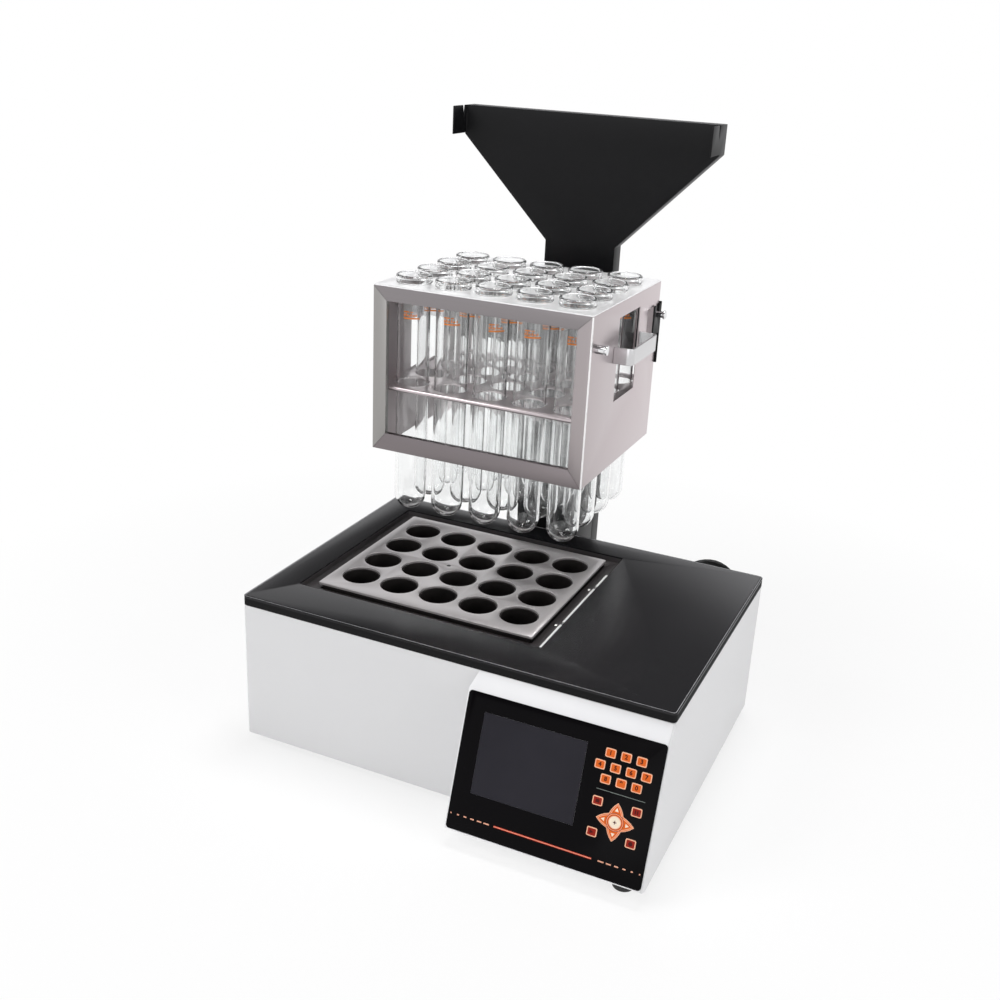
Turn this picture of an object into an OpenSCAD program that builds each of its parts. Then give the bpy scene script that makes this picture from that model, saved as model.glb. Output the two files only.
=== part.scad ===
// Twenty-place block digester with a tube rack hanging on its stand.
// X runs across the base, Y to the rear, Z up from the bench. Sizes are in millimetres.

/* [Tubes] */
// Length of a digestion tube, rim to round end
tube_len = 300; // [280:5:310]
// Outer diameter of a tube
tube_d = 40; // [36:0.5:41]
// Thickness of the glass
tube_wall = 1.8; // [1.4:0.1:2.4]
// How far the rolled rim stands out from the tube
rim_flare = 2; // [1.6:0.1:2.6]
// Height of the rolled rim
rim_h = 9.4; // [6:0.2:12]
// Distance between neighbouring tubes
pitch = 52.5; // [50:0.5:56]

/* [Block] */
// Height of the aluminium block
block_h = 112; // [90:1:120]
// Depth of a well in the block
well_depth = 95; // [60:1:100]
// Gap round a tube in its well
well_gap = 1.5; // [1:0.1:2.5]
// Gap round a tube in the brushed plate
plate_gap = 3; // [2:0.1:4]
// Thickness of the brushed plate
plate_t = 3; // [2:0.5:5]
// Plate margin beside the outer wells
plate_side = 34.5; // [28:0.5:40]
// Plate margin in front of the wells
plate_front = 41.5; // [34:0.5:46]
// Plate margin behind the wells
plate_rear = 38; // [34:0.5:46]
// How far the block stays inside the plate's edge
block_inset = 3; // [1:0.5:6]
// Radius of the temperature probe
probe_r = 2.5; // [1.5:0.1:3]

/* [Base] */
// Width of the base
base_w = 525; // [500:5:560]
// Depth of the base, console left out
base_d = 367.5; // [355:2.5:400]
// Height from the casing's lower edge to the cover's top
base_h = 183.4; // [165:0.2:210]
// Thickness of the casing sheet
sheet = 2; // [1.5:0.1:3]
// Radius of the upright corners
corner_r = 6; // [4:0.5:12]
// Height of the cover's lip
lip_h = 11; // [8:0.5:16]
// Distance of the block's middle from the base's middle, to the left
block_left = 67.4; // [60:0.2:75]
// Distance of the first well row in front of the base's middle
well_front = 66.5; // [58:0.5:72]
// Trough width beside the plate
trough_side = 17.5; // [12:0.5:22]
// Depth of the trough's ledge under the cover
ledge_drop = 8.4; // [6:0.2:14]
// Height of a rubber foot
foot_h = 14; // [8:1:25]
// Radius of a rubber foot
foot_r = 13; // [8:0.5:14]

/* [Console] */
// Width of the console
console_w = 224.5; // [210:0.5:240]
// How far the console's foot stands in front of the base
console_out = 59.75; // [50:0.25:75]
// How far the console's upper edge stands in front of the base
console_brow = 11.05; // [8:0.05:14]
// Thickness of the printed overlay
overlay_t = 0.8; // [0.5:0.1:1.5]
// White margin round the overlay
overlay_margin = 1.6; // [1:0.1:4]
// Width of the display
display_w = 117.6; // [100:0.2:120]
// Height of the display along the slope
display_h = 90; // [70:1:96]
// Distance of the display from the overlay's left edge
display_left = 21.4; // [12:0.2:30]
// Distance of the display from the overlay's upper edge
display_down = 19.4; // [12:0.2:30]

/* [Rack] */
// Height of the rack's frame
rack_h = 204.5; // [190:0.5:215]
// Rack margin beside the outer tubes
rack_side = 33.7; // [30:0.1:40]
// Rack margin in front of the tubes
rack_front = 38.4; // [32:0.2:46]
// Rack margin behind the tubes
rack_rear = 44.5; // [38:0.5:50]
// Thickness of the stainless sheet
steel_t = 1.5; // [1:0.1:2]
// Width of the front frame's upright borders
border_side = 17.7; // [12:0.1:20]
// Width of the front frame's upper border
border_top = 18.5; // [12:0.5:24]
// Width of the front frame's lower border
border_low = 21.5; // [14:0.5:28]
// Height of the shelf above the rack's lower edge
shelf_up = 80.5; // [60:0.5:100]
// Gap round a tube in the rack's holes
hole_gap = 1.2; // [0.6:0.1:1.4]
// Width of the side windows
window_w = 74; // [50:1:76]
// Height of the side windows
window_h = 102; // [70:1:105]
// Height of a handle's strap
strap_h = 20; // [14:1:26]
// Thickness of a handle's strap
strap_t = 2.5; // [2:0.1:4]
// How far a handle stands out
handle_out = 24; // [24:1:40]
// Length of a handle
handle_len = 92.9; // [85:0.1:100]
// Radius of a hanging pin
pin_r = 4; // [3:0.1:5]
// Length of a hanging pin
pin_len = 13.5; // [10:0.5:16]

/* [Stand] */
// Height of the hanging pins above the casing's lower edge
hang_h = 481; // [460:1:520]
// Width of the post and of the plate's neck
post_w = 100; // [80:1:120]
// Depth of the post
post_d = 64; // [50:1:80]
// Gap between the base and the post
post_gap = 74; // [60:1:90]
// Thickness of the stand's sheet
stand_t = 2; // [1.5:0.1:3]
// Width of the plate's top
wing_w = 355; // [300:1:380]
// Height of the plate's upright side edges
wing_edge = 37.5; // [28:0.5:45]
// Height of the sloping stretch
wing_slope = 129; // [100:1:150]
// Height of the plate's top above the hanging pins
wing_up = 227.5; // [210:0.5:260]
// Depth of the plate's rearward flange
flange_d = 26; // [16:1:30]
// Length of the ears at the plate's top
ear_len = 38; // [28:1:45]
// Height of the notched crossbeam
beam_h = 80; // [60:1:90]

/* [Hidden] */
$fn = 48;
COLS = 5;
ROWS = 4;
TUBE_NAMES = [for (i = [1 : COLS * ROWS]) str("tube_", i < 10 ? "0" : "", i)];
BASE_NAMES = [
    "base_casing", "base_tray", "top_cover", "well_liner", "ledge_screws", "block_plate", "heating_block",
    "heater_plate", "block_standoffs", "block_insulation", "temperature_probe", "console_shell",
    "keypad_overlay", "display_window", "control_board", "power_relay", "feet", "switch_housing",
    "power_rocker", "cord_gland", "mains_cord", "cord_coil", "cord_tail", "mains_plug"
];
STAND_NAMES = ["stand_foot_box", "stand_post", "stand_back_plate", "rack_bracket", "stand_bolts"];
RACK_NAMES = [
    "rack_top_plate", "rack_side_left", "rack_side_right", "rack_front_frame", "rack_rear_frame",
    "rack_shelf", "rack_handle_left", "rack_handle_right", "rack_pins"
];

// Clearance of pieces that move apart or drop into one another
seat = 0.3;
// Overlap of cutting tools
cut = 1;

// Levels of the base
z_base = foot_h;
z_cover = z_base + base_h;
z_lip = z_cover - lip_h;
z_ledge = z_cover - ledge_drop;
z_block = z_cover - plate_t;

// The base's edges
front_y = -base_d / 2;
rear_y = base_d / 2;
right_x = base_w / 2;

// The wells' places
mid_x = -block_left;
span_x = (COLS - 1) * pitch;
span_y = (ROWS - 1) * pitch;
hole_d = tube_d + 2 * hole_gap;

// The brushed plate's outline
plate_w = span_x + 2 * plate_side;
plate_y0 = -well_front - plate_front;
plate_y1 = -well_front + span_y + plate_rear;
plate_d = plate_y1 - plate_y0;
plate_y = (plate_y0 + plate_y1) / 2;
trough_w = plate_w + 2 * trough_side;
trough_d = plate_d + 2 * (trough_side - 1);
block_w = plate_w - 2 * block_inset;
block_d = plate_d - 2 * block_inset;
liner_t = 1.5;
collar_gap = 2;
collar_h = 17;

// The heater under the block
heater_t = 12;
heater_z = z_block - block_h - heater_t;
tray_z = z_base + sheet;
wool_t = 26;
standoff_in = 24;
standoff_r = 8;
channel_w = 18;
channel_y = 90;
probe_x = mid_x - pitch / 2;
probe_y = -well_front + 1.5 * pitch;
probe_depth = 60;

// The console's outline, as Y and Z
console_x0 = right_x - console_w;
brow_top = base_h - lip_h - seat;
brow_low = brow_top - 17;
brow_mitre = 6.5;
chin_z = 6;
chin_back = 12;
CONSOLE = [
    [front_y, z_base + brow_top],
    [front_y - console_brow, z_base + brow_low],
    [front_y - console_out, z_base + chin_z],
    [front_y - console_out + chin_back, z_base],
    [front_y, z_base]
];
slope_dy = console_out - console_brow;
slope_dz = brow_low - chin_z;
slope_len = sqrt(slope_dy * slope_dy + slope_dz * slope_dz);
slope_deg = atan2(slope_dy, slope_dz);
overlay_w = console_w - 2 * overlay_margin;
overlay_h = slope_len - 2 * overlay_margin;
pane_gap = 0.25;
bezel = 4;
board_back = 13;

// Screws on the trough's ledge
ledge_screw_in = 11;
ledge_screw_y = 53;

// Rear louvres
louvre_in = 77.5;
louvre_low = 28;
louvre_pitch = 10;
louvre_w = 90;
louvre_h = 4;

// Relay on its finned heat sink
relay_in = 112.5;
relay_y = 20;
relay_w = 60;
relay_d = 80;
relay_body_d = 60;
relay_body_h = 16;
sink_t = 6;
fins = 8;
fin_t = 2.4;
fin_h = 24;

// The rear rocker switch, beside the wool
switch_beside = 22.9;
switch_x = mid_x + block_w / 2 + wool_t + switch_beside;
switch_z = z_base + 132;
switch_w = 15;
switch_h = 21;
rocker_r = 9.6;
rocker_tilt = 8;
axle_r = 1.5;
axle_gap = 0.05;

// The rack's place
pin_z = z_base + hang_h;
post_y = rear_y + post_gap;
beam_y = post_y - stand_t;
rack_back_y = beam_y - 0.5;
rack_w = span_x + 2 * rack_side;
rack_d = rack_front + span_y + rack_rear;
rack_front_y = rack_back_y - rack_d;
rack_top = pin_z + 41;
rack_low = rack_top - rack_h;
rack_half = rack_w / 2;
row_y0 = rack_front_y + rack_front;
lip_fold = 7;
roll_r = 3;
tube_top = rack_top + seat + rim_h;
thick_more = 0.4;
thick_h = 72.5;
pin_in = 12.2;
pin_head = 2.5;
rear_pin_y = rack_back_y - pin_in;
front_pin_y = rack_front_y + 17;
handle_y = rack_front_y + 123.45;
window_y = rack_front_y + 128.2;
window_z = rack_top - 20;

// The stand's spacer box and bolts
foot_box_in = 8;
foot_box_z = 20;
foot_box_h = 110;
bolt_low = 60;
bolt_mid = 250;
bolt_top = 40;
bolt_x = 30;

// The stand's levels
plate_yf = post_y + post_d;
wing_top = pin_z + wing_up;
wing_low = wing_top - wing_edge;
neck_top = wing_low - wing_slope;
beam_top = pin_z + 14;
ear_gap = 1;
beam_half = rack_half + ear_gap + stand_t;

// The whole part's Y extent without the cord, and the shift that centres it
deep_front = front_y - console_out;
deep_rear = plate_yf + flange_d;
frame_y = -(deep_front + deep_rear) / 2;

// The mains lead: its diameter, its route from the gland, its coil and its tail
cord_d = 8;
coil_r = 44;
coil_x = 150;
coil_y = 300;
gland_x = 150;
gland_z = 159;
gland_len = 35;
LEAD = [
    [150, 219, 159], [150, 231, 159], [152, 243, 160], [158, 254, 162], [168, 262, 164], [181, 266, 164],
    [195, 266, 160], [207, 264, 151], [215, 260, 136], [218, 258, 116], [217, 257, 94], [213, 258, 70],
    [208, 258, 54], [204, 259, 40], [201, 264, 26], [199, 273, 14], [198, 285, 7], [198, 300, 4]
];
TAIL = [[150, 348, 20], [134, 348, 19], [118, 348, 16], [103, 348, 13], [88, 348, 13]];

// ---------------------------------------------------------------- helpers

// Puts a piece drawn about the base's middle into the centred frame
module in_frame() {
    translate([0, frame_y, 0]) children();
}

module rounded_rect(w, d, r) {
    square([w - 2 * r, d], center = true);
    square([w, d - 2 * r], center = true);
    for (sx = [-1, 1], sy = [-1, 1])
        translate([sx * (w / 2 - r), sy * (d / 2 - r)]) circle(r);
}

module slab(w, d, h, r) {
    linear_extrude(h) rounded_rect(w, d, r);
}

// An open rectangular ring
module ring(outer, inner, h, r) {
    linear_extrude(h) difference() {
        rounded_rect(outer.x, outer.y, r);
        rounded_rect(inner.x, inner.y, max(r - (outer.x - inner.x) / 2, 1));
    }
}

function unit(v) = v / norm(v);

// A corner of a closed outline, moved inwards by t, for a counter-clockwise outline
function moved_corner(before, at, after, t) =
    let (
        u = unit(at - before),
        v = unit(after - at),
        n1 = [-u.y, u.x],
        n2 = [-v.y, v.x]
    )
    at + t * (n1 + n2) / (1 + n1 * n2);

function inset(pts, t) = [
    for (i = [0 : len(pts) - 1])
        moved_corner(pts[(i + len(pts) - 1) % len(pts)], pts[i], pts[(i + 1) % len(pts)], t)
];

// Extrudes an outline of Y and Z along X, from x0
module along_x(x0, length) {
    translate([x0, 0, 0]) rotate([90, 0, 90]) linear_extrude(length) children();
}

// The places of the twenty tubes, row by row
module at_places(y0) {
    for (c = [0 : COLS - 1], r = [0 : ROWS - 1])
        translate([mid_x - span_x / 2 + c * pitch, y0 + r * pitch, 0]) children();
}

// A slot with round ends along X, cut through a wall that is square to Y
module slot_y(length, height, depth) {
    r = height / 2;
    rotate([90, 0, 0]) linear_extrude(depth, center = true) {
        square([length - height, height], center = true);
        for (s = [-1, 1]) translate([s * (length / 2 - r), 0]) circle(r);
    }
}

// Stands a drawing on the console's slope: X across, Y up the slope, Z out of it, origin at the upper edge
module on_slope() {
    translate([console_x0, CONSOLE[1].x, CONSOLE[1].y]) rotate([90 - slope_deg, 0, 0]) children();
}

// ---------------------------------------------------------------- base

// The console's closed form with its walls moved inwards by t, from x0 to x1
module console_body(x0, x1, t) {
    lean = brow_mitre / console_brow;
    edge = console_x0 + t * sqrt(1 + lean * lean);
    difference() {
        along_x(x0, x1 - x0) polygon(inset(CONSOLE, t));
        translate([0, 0, CONSOLE[1].y - t]) linear_extrude(50) polygon([
            [console_x0 - cut, front_y - console_brow - cut],
            [edge - lean * cut, front_y - console_brow - cut],
            [edge + brow_mitre + lean * cut, front_y + cut],
            [console_x0 - cut, front_y + cut]
        ]);
    }
}

module console_window() {
    translate([console_x0 + 14, front_y - 2 * sheet, z_base + 20])
        cube([console_w - 28, 4 * sheet, 110]);
}

module louvres(x) {
    for (i = [0 : 7])
        translate([x, rear_y, z_base + louvre_low + i * louvre_pitch]) slot_y(louvre_w, louvre_h, 4 * sheet);
}

module base_casing() color([0.87, 0.87, 0.88]) in_frame() {
    wall_h = base_h - lip_h - seat;
    inner = [base_w - 2 * sheet, base_d - 2 * sheet];
    upstand = [inner.x - 2 * seat, inner.y - 2 * seat];
    difference() {
        translate([0, 0, z_base]) slab(base_w, base_d, wall_h, corner_r);
        translate([0, 0, z_base - cut]) slab(inner.x, inner.y, wall_h + 2 * cut, corner_r - sheet);
        console_window();
        louvres(louvre_in - right_x);
        louvres(right_x - louvre_in);
        translate([gland_x, rear_y, gland_z])
            rotate([90, 0, 0]) cylinder(h = 4 * sheet, r = cord_d, center = true);
        translate([switch_x, rear_y, switch_z])
            cube([switch_w + 2 * seat, 4 * sheet, switch_h + 2 * seat], center = true);
    }
    // Upstand inside the lip, which carries the cover
    translate([0, 0, z_lip - 14]) ring(inner, upstand - [2, 2] * sheet, 14 - seat, corner_r - sheet);
    translate([0, 0, z_lip - seat])
        ring(upstand, upstand - [2, 2] * sheet, lip_h - sheet + seat, corner_r - sheet);
    // Right side of the console, in one sheet with the casing
    along_x(right_x - sheet, sheet) polygon([
        [front_y + corner_r, z_base + wall_h],
        CONSOLE[0],
        CONSOLE[1],
        CONSOLE[2],
        CONSOLE[3],
        [front_y + corner_r, z_base]
    ]);
}

module base_tray() color([0.62, 0.63, 0.65]) in_frame() {
    trim = 2 * (sheet + seat);
    difference() {
        translate([0, 0, z_base]) slab(base_w - trim, base_d - trim, sheet, corner_r - sheet);
        for (i = [-2 : 2])
            translate([180, i * 22, z_base - cut]) linear_extrude(sheet + 2 * cut) rounded_rect(80, 6, 2.9);
    }
}

module top_cover() color([0.06, 0.06, 0.065]) in_frame() {
    difference() {
        translate([0, 0, z_lip]) slab(base_w, base_d, lip_h, corner_r);
        translate([0, 0, z_lip - cut])
            slab(base_w - 2 * sheet, base_d - 2 * sheet, lip_h - sheet + cut, corner_r - sheet);
        translate([mid_x, plate_y, z_lip]) slab(trough_w, trough_d, lip_h + cut, 3);
    }
}

// Trough round the block: a flange under the cover, an upright wall, the ledge and a collar
module well_liner() color([0.05, 0.05, 0.055]) in_frame() translate([mid_x, plate_y, 0]) {
    opening = [trough_w, trough_d];
    wall = opening + [2, 2] * liner_t;
    window = [block_w, block_d] + [2, 2] * collar_gap;
    flange_z = z_cover - sheet - liner_t;
    translate([0, 0, flange_z]) ring(opening + [24, 24], opening, liner_t, 6);
    translate([0, 0, z_ledge]) ring(wall, opening, flange_z - z_ledge, 4);
    translate([0, 0, z_ledge - liner_t]) ring(wall, window, liner_t, 4);
    translate([0, 0, z_ledge - collar_h]) ring(window + [2, 2] * liner_t, window, collar_h - liner_t, 3);
}

module ledge_screws() color([0.8, 0.8, 0.78]) in_frame() {
    for (side = [-1, 1], y = [-1, 1] * ledge_screw_y)
        translate([mid_x + side * (trough_w / 2 - ledge_screw_in), y, z_ledge])
            intersection() {
                cylinder(h = 1.6, r = 3);
                translate([0, 0, -2.6]) sphere(r = 4.2);
            }
}

module block_plate() color([0.6, 0.56, 0.53]) in_frame() difference() {
    translate([mid_x, plate_y, z_block]) slab(plate_w, plate_d, plate_t, 2);
    at_places(-well_front) translate([0, 0, z_block - cut])
        cylinder(h = plate_t + 2 * cut, r = tube_d / 2 + plate_gap);
    translate([probe_x, probe_y, z_block - cut]) cylinder(h = plate_t + 2 * cut, r = probe_r + 0.5);
}

// Aluminium block with round-ended wells
module heating_block() color([0.22, 0.18, 0.16]) in_frame() difference() {
    r = tube_d / 2 + well_gap;
    translate([mid_x, plate_y, z_block - block_h]) slab(block_w, block_d, block_h, 2);
    at_places(-well_front) {
        translate([0, 0, z_block - well_depth + r]) sphere(r = r);
        translate([0, 0, z_block - well_depth + r]) cylinder(h = well_depth, r = r);
    }
    translate([probe_x, probe_y, z_block - probe_depth])
        cylinder(h = probe_depth + cut, r = probe_r + seat);
}

module temperature_probe() color([0.75, 0.75, 0.76]) in_frame()
    translate([probe_x, probe_y, z_block - probe_depth + seat + probe_r]) {
        cylinder(h = probe_depth + plate_t - probe_r - 1, r = probe_r);
        sphere(r = probe_r);
    }

// Heater plate with the round ends of its three elements
module heater_plate() color([0.45, 0.44, 0.43]) in_frame() {
    translate([mid_x, plate_y, heater_z]) slab(block_w, block_d, heater_t, 2);
    for (i = [-1 : 1])
        translate([mid_x + block_w / 2, plate_y + i * 70, heater_z + heater_t / 2])
            rotate([0, 90, 0]) cylinder(h = 14, r = 3.5);
}

module standoff_places() {
    for (sx = [-1, 1], sy = [-1, 1])
        translate([mid_x + sx * (block_w / 2 - standoff_in), plate_y + sy * (block_d / 2 - standoff_in), 0])
            children();
}

module block_standoffs() color([0.9, 0.88, 0.82]) in_frame() {
    standoff_places() translate([0, 0, tray_z]) cylinder(h = heater_z - tray_z, r = standoff_r);
}

// Wool boards on edge around the block and flat under it, with a channel for the heater's terminals
module block_insulation() color([0.78, 0.74, 0.62]) in_frame() {
    hx = block_w / 2 + 1;
    hy = block_d / 2 + 1;
    wall_h = z_ledge - collar_h - tray_z - seat;
    floor_h = heater_z - seat - tray_z;
    post_in = standoff_in + standoff_r + seat;
    outer_x = block_w / 2 + channel_w;
    translate([mid_x, plate_y, tray_z]) {
        for (s = [-1, 1]) {
            translate([-block_w / 2 - wool_t, s < 0 ? -hy - wool_t + 1 : hy, 0])
                cube([block_w + 2 * wool_t, wool_t - 1, wall_h]);
            translate([hx, s < 0 ? seat - hy : channel_y, 0])
                cube([channel_w - 1 - seat, hy - seat - channel_y, wall_h]);
            translate([s < 0 ? seat - hx : block_w / 2 - post_in + seat, post_in - block_d / 2, 0])
                cube([post_in + 1 - 2 * seat, block_d - 2 * post_in, floor_h]);
        }
        translate([-block_w / 2 - wool_t, seat - hy, 0]) cube([wool_t - 1, 2 * hy - 2 * seat, wall_h]);
        translate([outer_x, seat - hy, 0]) cube([wool_t - channel_w, 2 * hy - 2 * seat, wall_h]);
        translate([post_in - block_w / 2, seat - hy, 0])
            cube([block_w - 2 * post_in, 2 * hy - 2 * seat, floor_h]);
    }
}

module console_shell() color([0.9, 0.9, 0.91]) in_frame() {
    x1 = right_x - sheet;
    difference() {
        console_body(console_x0, x1, 0);
        console_body(console_x0 + sheet, x1 + cut, sheet);
        console_window();
        on_slope() translate([overlay_margin + display_left + bezel, 0, -2 * sheet])
            translate([0, -overlay_margin - display_down - display_h + bezel, 0])
            cube([display_w - 2 * bezel, display_h - 2 * bezel, 4 * sheet]);
    }
}

// Glossy film with a window for the display
module keypad_overlay() color([0.04, 0.04, 0.045]) in_frame() on_slope() {
    mid = [console_w / 2, -slope_len / 2];
    linear_extrude(overlay_t) difference() {
        translate(mid) rounded_rect(overlay_w, overlay_h, 4);
        translate([overlay_margin + display_left, -overlay_margin - display_down - display_h])
            square([display_w, display_h]);
    }
}

module display_window() color([0.2, 0.2, 0.215]) in_frame() on_slope()
    translate([overlay_margin + display_left + pane_gap, 0, 0])
    translate([0, -overlay_margin - display_down - display_h + pane_gap, 0])
    cube([display_w - 2 * pane_gap, display_h - 2 * pane_gap, overlay_t - 0.1]);

// Board on four spacers, with the display module in the hood's cut-out
module control_board() color([0.12, 0.35, 0.2]) in_frame() on_slope() {
    low = -overlay_margin - display_down - display_h;
    module_w = display_w - 2 * bezel - 2;
    x0 = overlay_margin + display_left;
    translate([x0 - 12, low - 8, -sheet - board_back - 1.6]) cube([170, display_h + 2, 1.6]);
    for (x = [x0 - 6, x0 + 150], y = [low - 4, low + display_h - 10])
        translate([x, y, -sheet - board_back]) cylinder(h = board_back, r = 2.5);
    translate([x0 + bezel + 1, low + bezel + 1, -sheet - board_back])
        cube([module_w, display_h - 2 * bezel - 12, board_back + sheet - seat]);
}

module power_relay() color([0.55, 0.56, 0.58]) in_frame() translate([right_x - relay_in, relay_y, tray_z]) {
    cube([relay_w, relay_d, sink_t]);
    for (i = [0 : fins - 1])
        translate([i * (relay_w - fin_t) / fins, 0, sink_t]) cube([fin_t, relay_d, fin_h]);
    translate([0, (relay_d - relay_body_d) / 2, sink_t + fin_h])
        cube([(relay_w - fin_t) * (fins - 1) / fins + fin_t, relay_body_d, relay_body_h]);
}

// Rubber foot: tapered, with a hollow under it
module foot() {
    rotate_extrude() polygon([
        [3, 2],
        [foot_r - 6, 2],
        [foot_r - 5, 0],
        [foot_r - 2, 0],
        [foot_r - 1, 1],
        [foot_r, foot_h],
        [3, foot_h]
    ]);
}

module feet() color([0.05, 0.05, 0.05]) in_frame() {
    for (p = [[-1, -1], [-1, 1], [1, 1]])
        translate([p.x * (right_x - 50), p.y * (rear_y - 50), 0]) foot();
    translate([right_x - 27.5, front_y - console_out + chin_back + 15.5, 0]) foot();
    for (s = [-1, 1]) translate([mid_x + s * (post_w / 2 - 18), post_y + post_d / 2, 0]) foot();
}

// Rear switch: a bezel on the wall, a box behind it and the rocker's axle across its mouth
module switch_housing() color([0.07, 0.07, 0.075]) in_frame() translate([switch_x, rear_y, switch_z]) {
    difference() {
        union() {
            translate([-switch_w / 2 - 2, 0, -switch_h / 2 - 2]) cube([switch_w + 4, 2, switch_h + 4]);
            translate([-switch_w / 2, -20, -switch_h / 2]) cube([switch_w, 20.1, switch_h]);
        }
        translate([-switch_w / 2 + 1.2, -14, -switch_h / 2 + 0.6]) cube([switch_w - 2.4, 20, switch_h - 1.2]);
    }
    translate([-switch_w / 2 + 1.1, 0, 0]) rotate([0, 90, 0]) cylinder(h = switch_w - 2.2, r = axle_r);
}

module power_rocker() color([0.5, 0.06, 0.05]) in_frame() translate([switch_x, rear_y, switch_z]) {
    width = switch_w - 2.4 - 2 * seat;
    rotate([-rocker_tilt, 0, 0]) translate([-width / 2, 0, 0]) rotate([90, 0, 90]) linear_extrude(width)
        difference() {
            intersection() {
                circle(r = rocker_r);
                polygon([[-5, -6], [1, -12], [4.2, -12], [2.7, 0], [4.2, 12], [1, 12], [-5, 6]]);
            }
            circle(r = axle_r + axle_gap);
        }
}

// ---------------------------------------------------------------- mains lead

// Flanged gland with a ribbed, tapered sleeve
module cord_gland() color([0.06, 0.06, 0.06]) in_frame() translate([gland_x, rear_y, gland_z])
    rotate([-90, 0, 0]) {
        translate([0, 0, -3 * sheet]) cylinder(h = 3 * sheet, r = cord_d - seat);
        cylinder(h = 4, r = 13);
        translate([0, 0, 4]) cylinder(h = 6, r = 11, $fn = 6);
        translate([0, 0, 10]) cylinder(h = gland_len - 10.25, r1 = 8, r2 = 5.2);
        for (i = [0 : 3]) translate([0, 0, 13 + i * 5]) cylinder(h = 2, r = 8.2 - i * 0.6);
    }

// A point on a smooth curve through the route's points, at u of stretch i
function route_point(p, i, u) =
    let (
        a = p[max(i - 1, 0)],
        b = p[i],
        c = p[i + 1],
        d = p[min(i + 2, len(p) - 1)]
    )
    0.5 * (2 * b + (c - a) * u + (2 * a - 5 * b + 4 * c - d) * u * u + (3 * b - a - 3 * c + d) * u * u * u);

function route_line(p, steps) = concat(
    [for (i = [0 : len(p) - 2], k = [0 : steps - 1]) route_point(p, i, k / steps)],
    [p[len(p) - 1]]
);

function heading(line, i) = unit(line[min(i + 1, len(line) - 1)] - line[max(i - 1, 0)]);

// Carries the ring's side vector along the line without twist
function side_vectors(line, i = 0, side = [1, 0, 0], done = []) =
    i == len(line) ? done :
    let (
        t = heading(line, i),
        s = unit(side - (side * t) * t)
    )
    side_vectors(line, i + 1, s, concat(done, [s]));

module swept_cord(route, steps, side) {
    sides = 10;
    line = route_line(route, steps);
    across = side_vectors(line, side = side);
    n = len(line);
    rings = [
        for (i = [0 : n - 1])
            let (t = heading(line, i), s = across[i], up = cross(t, s))
            for (k = [0 : sides - 1])
                line[i] + cord_d / 2 * (cos(k * 360 / sides) * s + sin(k * 360 / sides) * up)
    ];
    walls = [
        for (i = [0 : n - 2], k = [0 : sides - 1])
            let (a = i * sides, b = a + sides, j = (k + 1) % sides)
            [a + k, b + k, b + j, a + j]
    ];
    ends = [[for (k = [0 : sides - 1]) k], [for (k = [sides - 1 : -1 : 0]) (n - 1) * sides + k]];
    polyhedron(points = rings, faces = concat(walls, ends), convexity = 6);
}

module mains_cord() color([0.04, 0.04, 0.04]) in_frame() swept_cord(LEAD, 2, [1, 0, 0]);

module cord_tail() color([0.04, 0.04, 0.04]) in_frame() swept_cord(TAIL, 1, [0, 1, 0]);

// Outer form of the coiled turns, two wide and three high
module cord_coil() color([0.04, 0.04, 0.04]) in_frame() translate([coil_x, coil_y, 0])
    rotate_extrude() translate([coil_r, 1.5 * cord_d]) rounded_rect(2 * cord_d, 3 * cord_d, cord_d / 2);

// Moulded plug with two round pins
module mains_plug() color([0.05, 0.05, 0.05]) in_frame()
    translate(TAIL[4]) rotate([0, -90, 0]) {
        cylinder(h = 12, r1 = 5, r2 = 7);
        translate([0, 0, 12]) cylinder(h = 26, r = 13);
        translate([0, 0, 38]) cylinder(h = 4, r1 = 13, r2 = 10);
        for (s = [-1, 1]) translate([0, s * 6.5, 41.9]) {
            cylinder(h = 17, r = 2.4);
            translate([0, 0, 17]) sphere(r = 2.39);
        }
    }

// ---------------------------------------------------------------- stand

module stand_foot_box() color([0.09, 0.09, 0.095]) in_frame() {
    w = post_w - 2 * foot_box_in;
    translate([mid_x - w / 2, rear_y, z_base + foot_box_z]) difference() {
        cube([w, post_gap, foot_box_h]);
        translate([stand_t, -cut, stand_t])
            cube([w - 2 * stand_t, post_gap + 2 * cut, foot_box_h - 2 * stand_t]);
    }
}

// Folded channel with a sloping lid, closed at the rear by the back plate
module stand_post() color([0.09, 0.09, 0.095]) in_frame() {
    side = [
        [post_y, z_base],
        [post_y + post_d, z_base],
        [post_y + post_d, beam_top + 8],
        [post_y, beam_top]
    ];
    cavity = inset([
        [post_y, z_base],
        [post_y + 2 * post_d, z_base],
        [post_y + 2 * post_d, beam_top + 16],
        [post_y, beam_top]
    ], stand_t);
    difference() {
        along_x(mid_x - post_w / 2, post_w) polygon(side);
        along_x(mid_x - post_w / 2 + stand_t, post_w - 2 * stand_t) polygon(cavity);
    }
}

function wing_outline() = [
    [mid_x - post_w / 2, z_base],
    [mid_x + post_w / 2, z_base],
    [mid_x + post_w / 2, neck_top],
    [mid_x + wing_w / 2, wing_low],
    [mid_x + wing_w / 2, wing_top],
    [mid_x - wing_w / 2, wing_top],
    [mid_x - wing_w / 2, wing_low],
    [mid_x - post_w / 2, neck_top]
];

// Ear folded forward at the plate's top, with its hanging notch near the fold
module wing_ear(x) {
    along_x(x, stand_t) polygon([
        [plate_yf + stand_t, wing_top],
        [plate_yf - 5, wing_top],
        [plate_yf - 8, wing_top - 16],
        [plate_yf - 11, wing_top],
        [plate_yf - ear_len, wing_top],
        [plate_yf - ear_len, wing_low + 1.5],
        [plate_yf + stand_t, wing_low + 1.5]
    ]);
}

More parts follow.
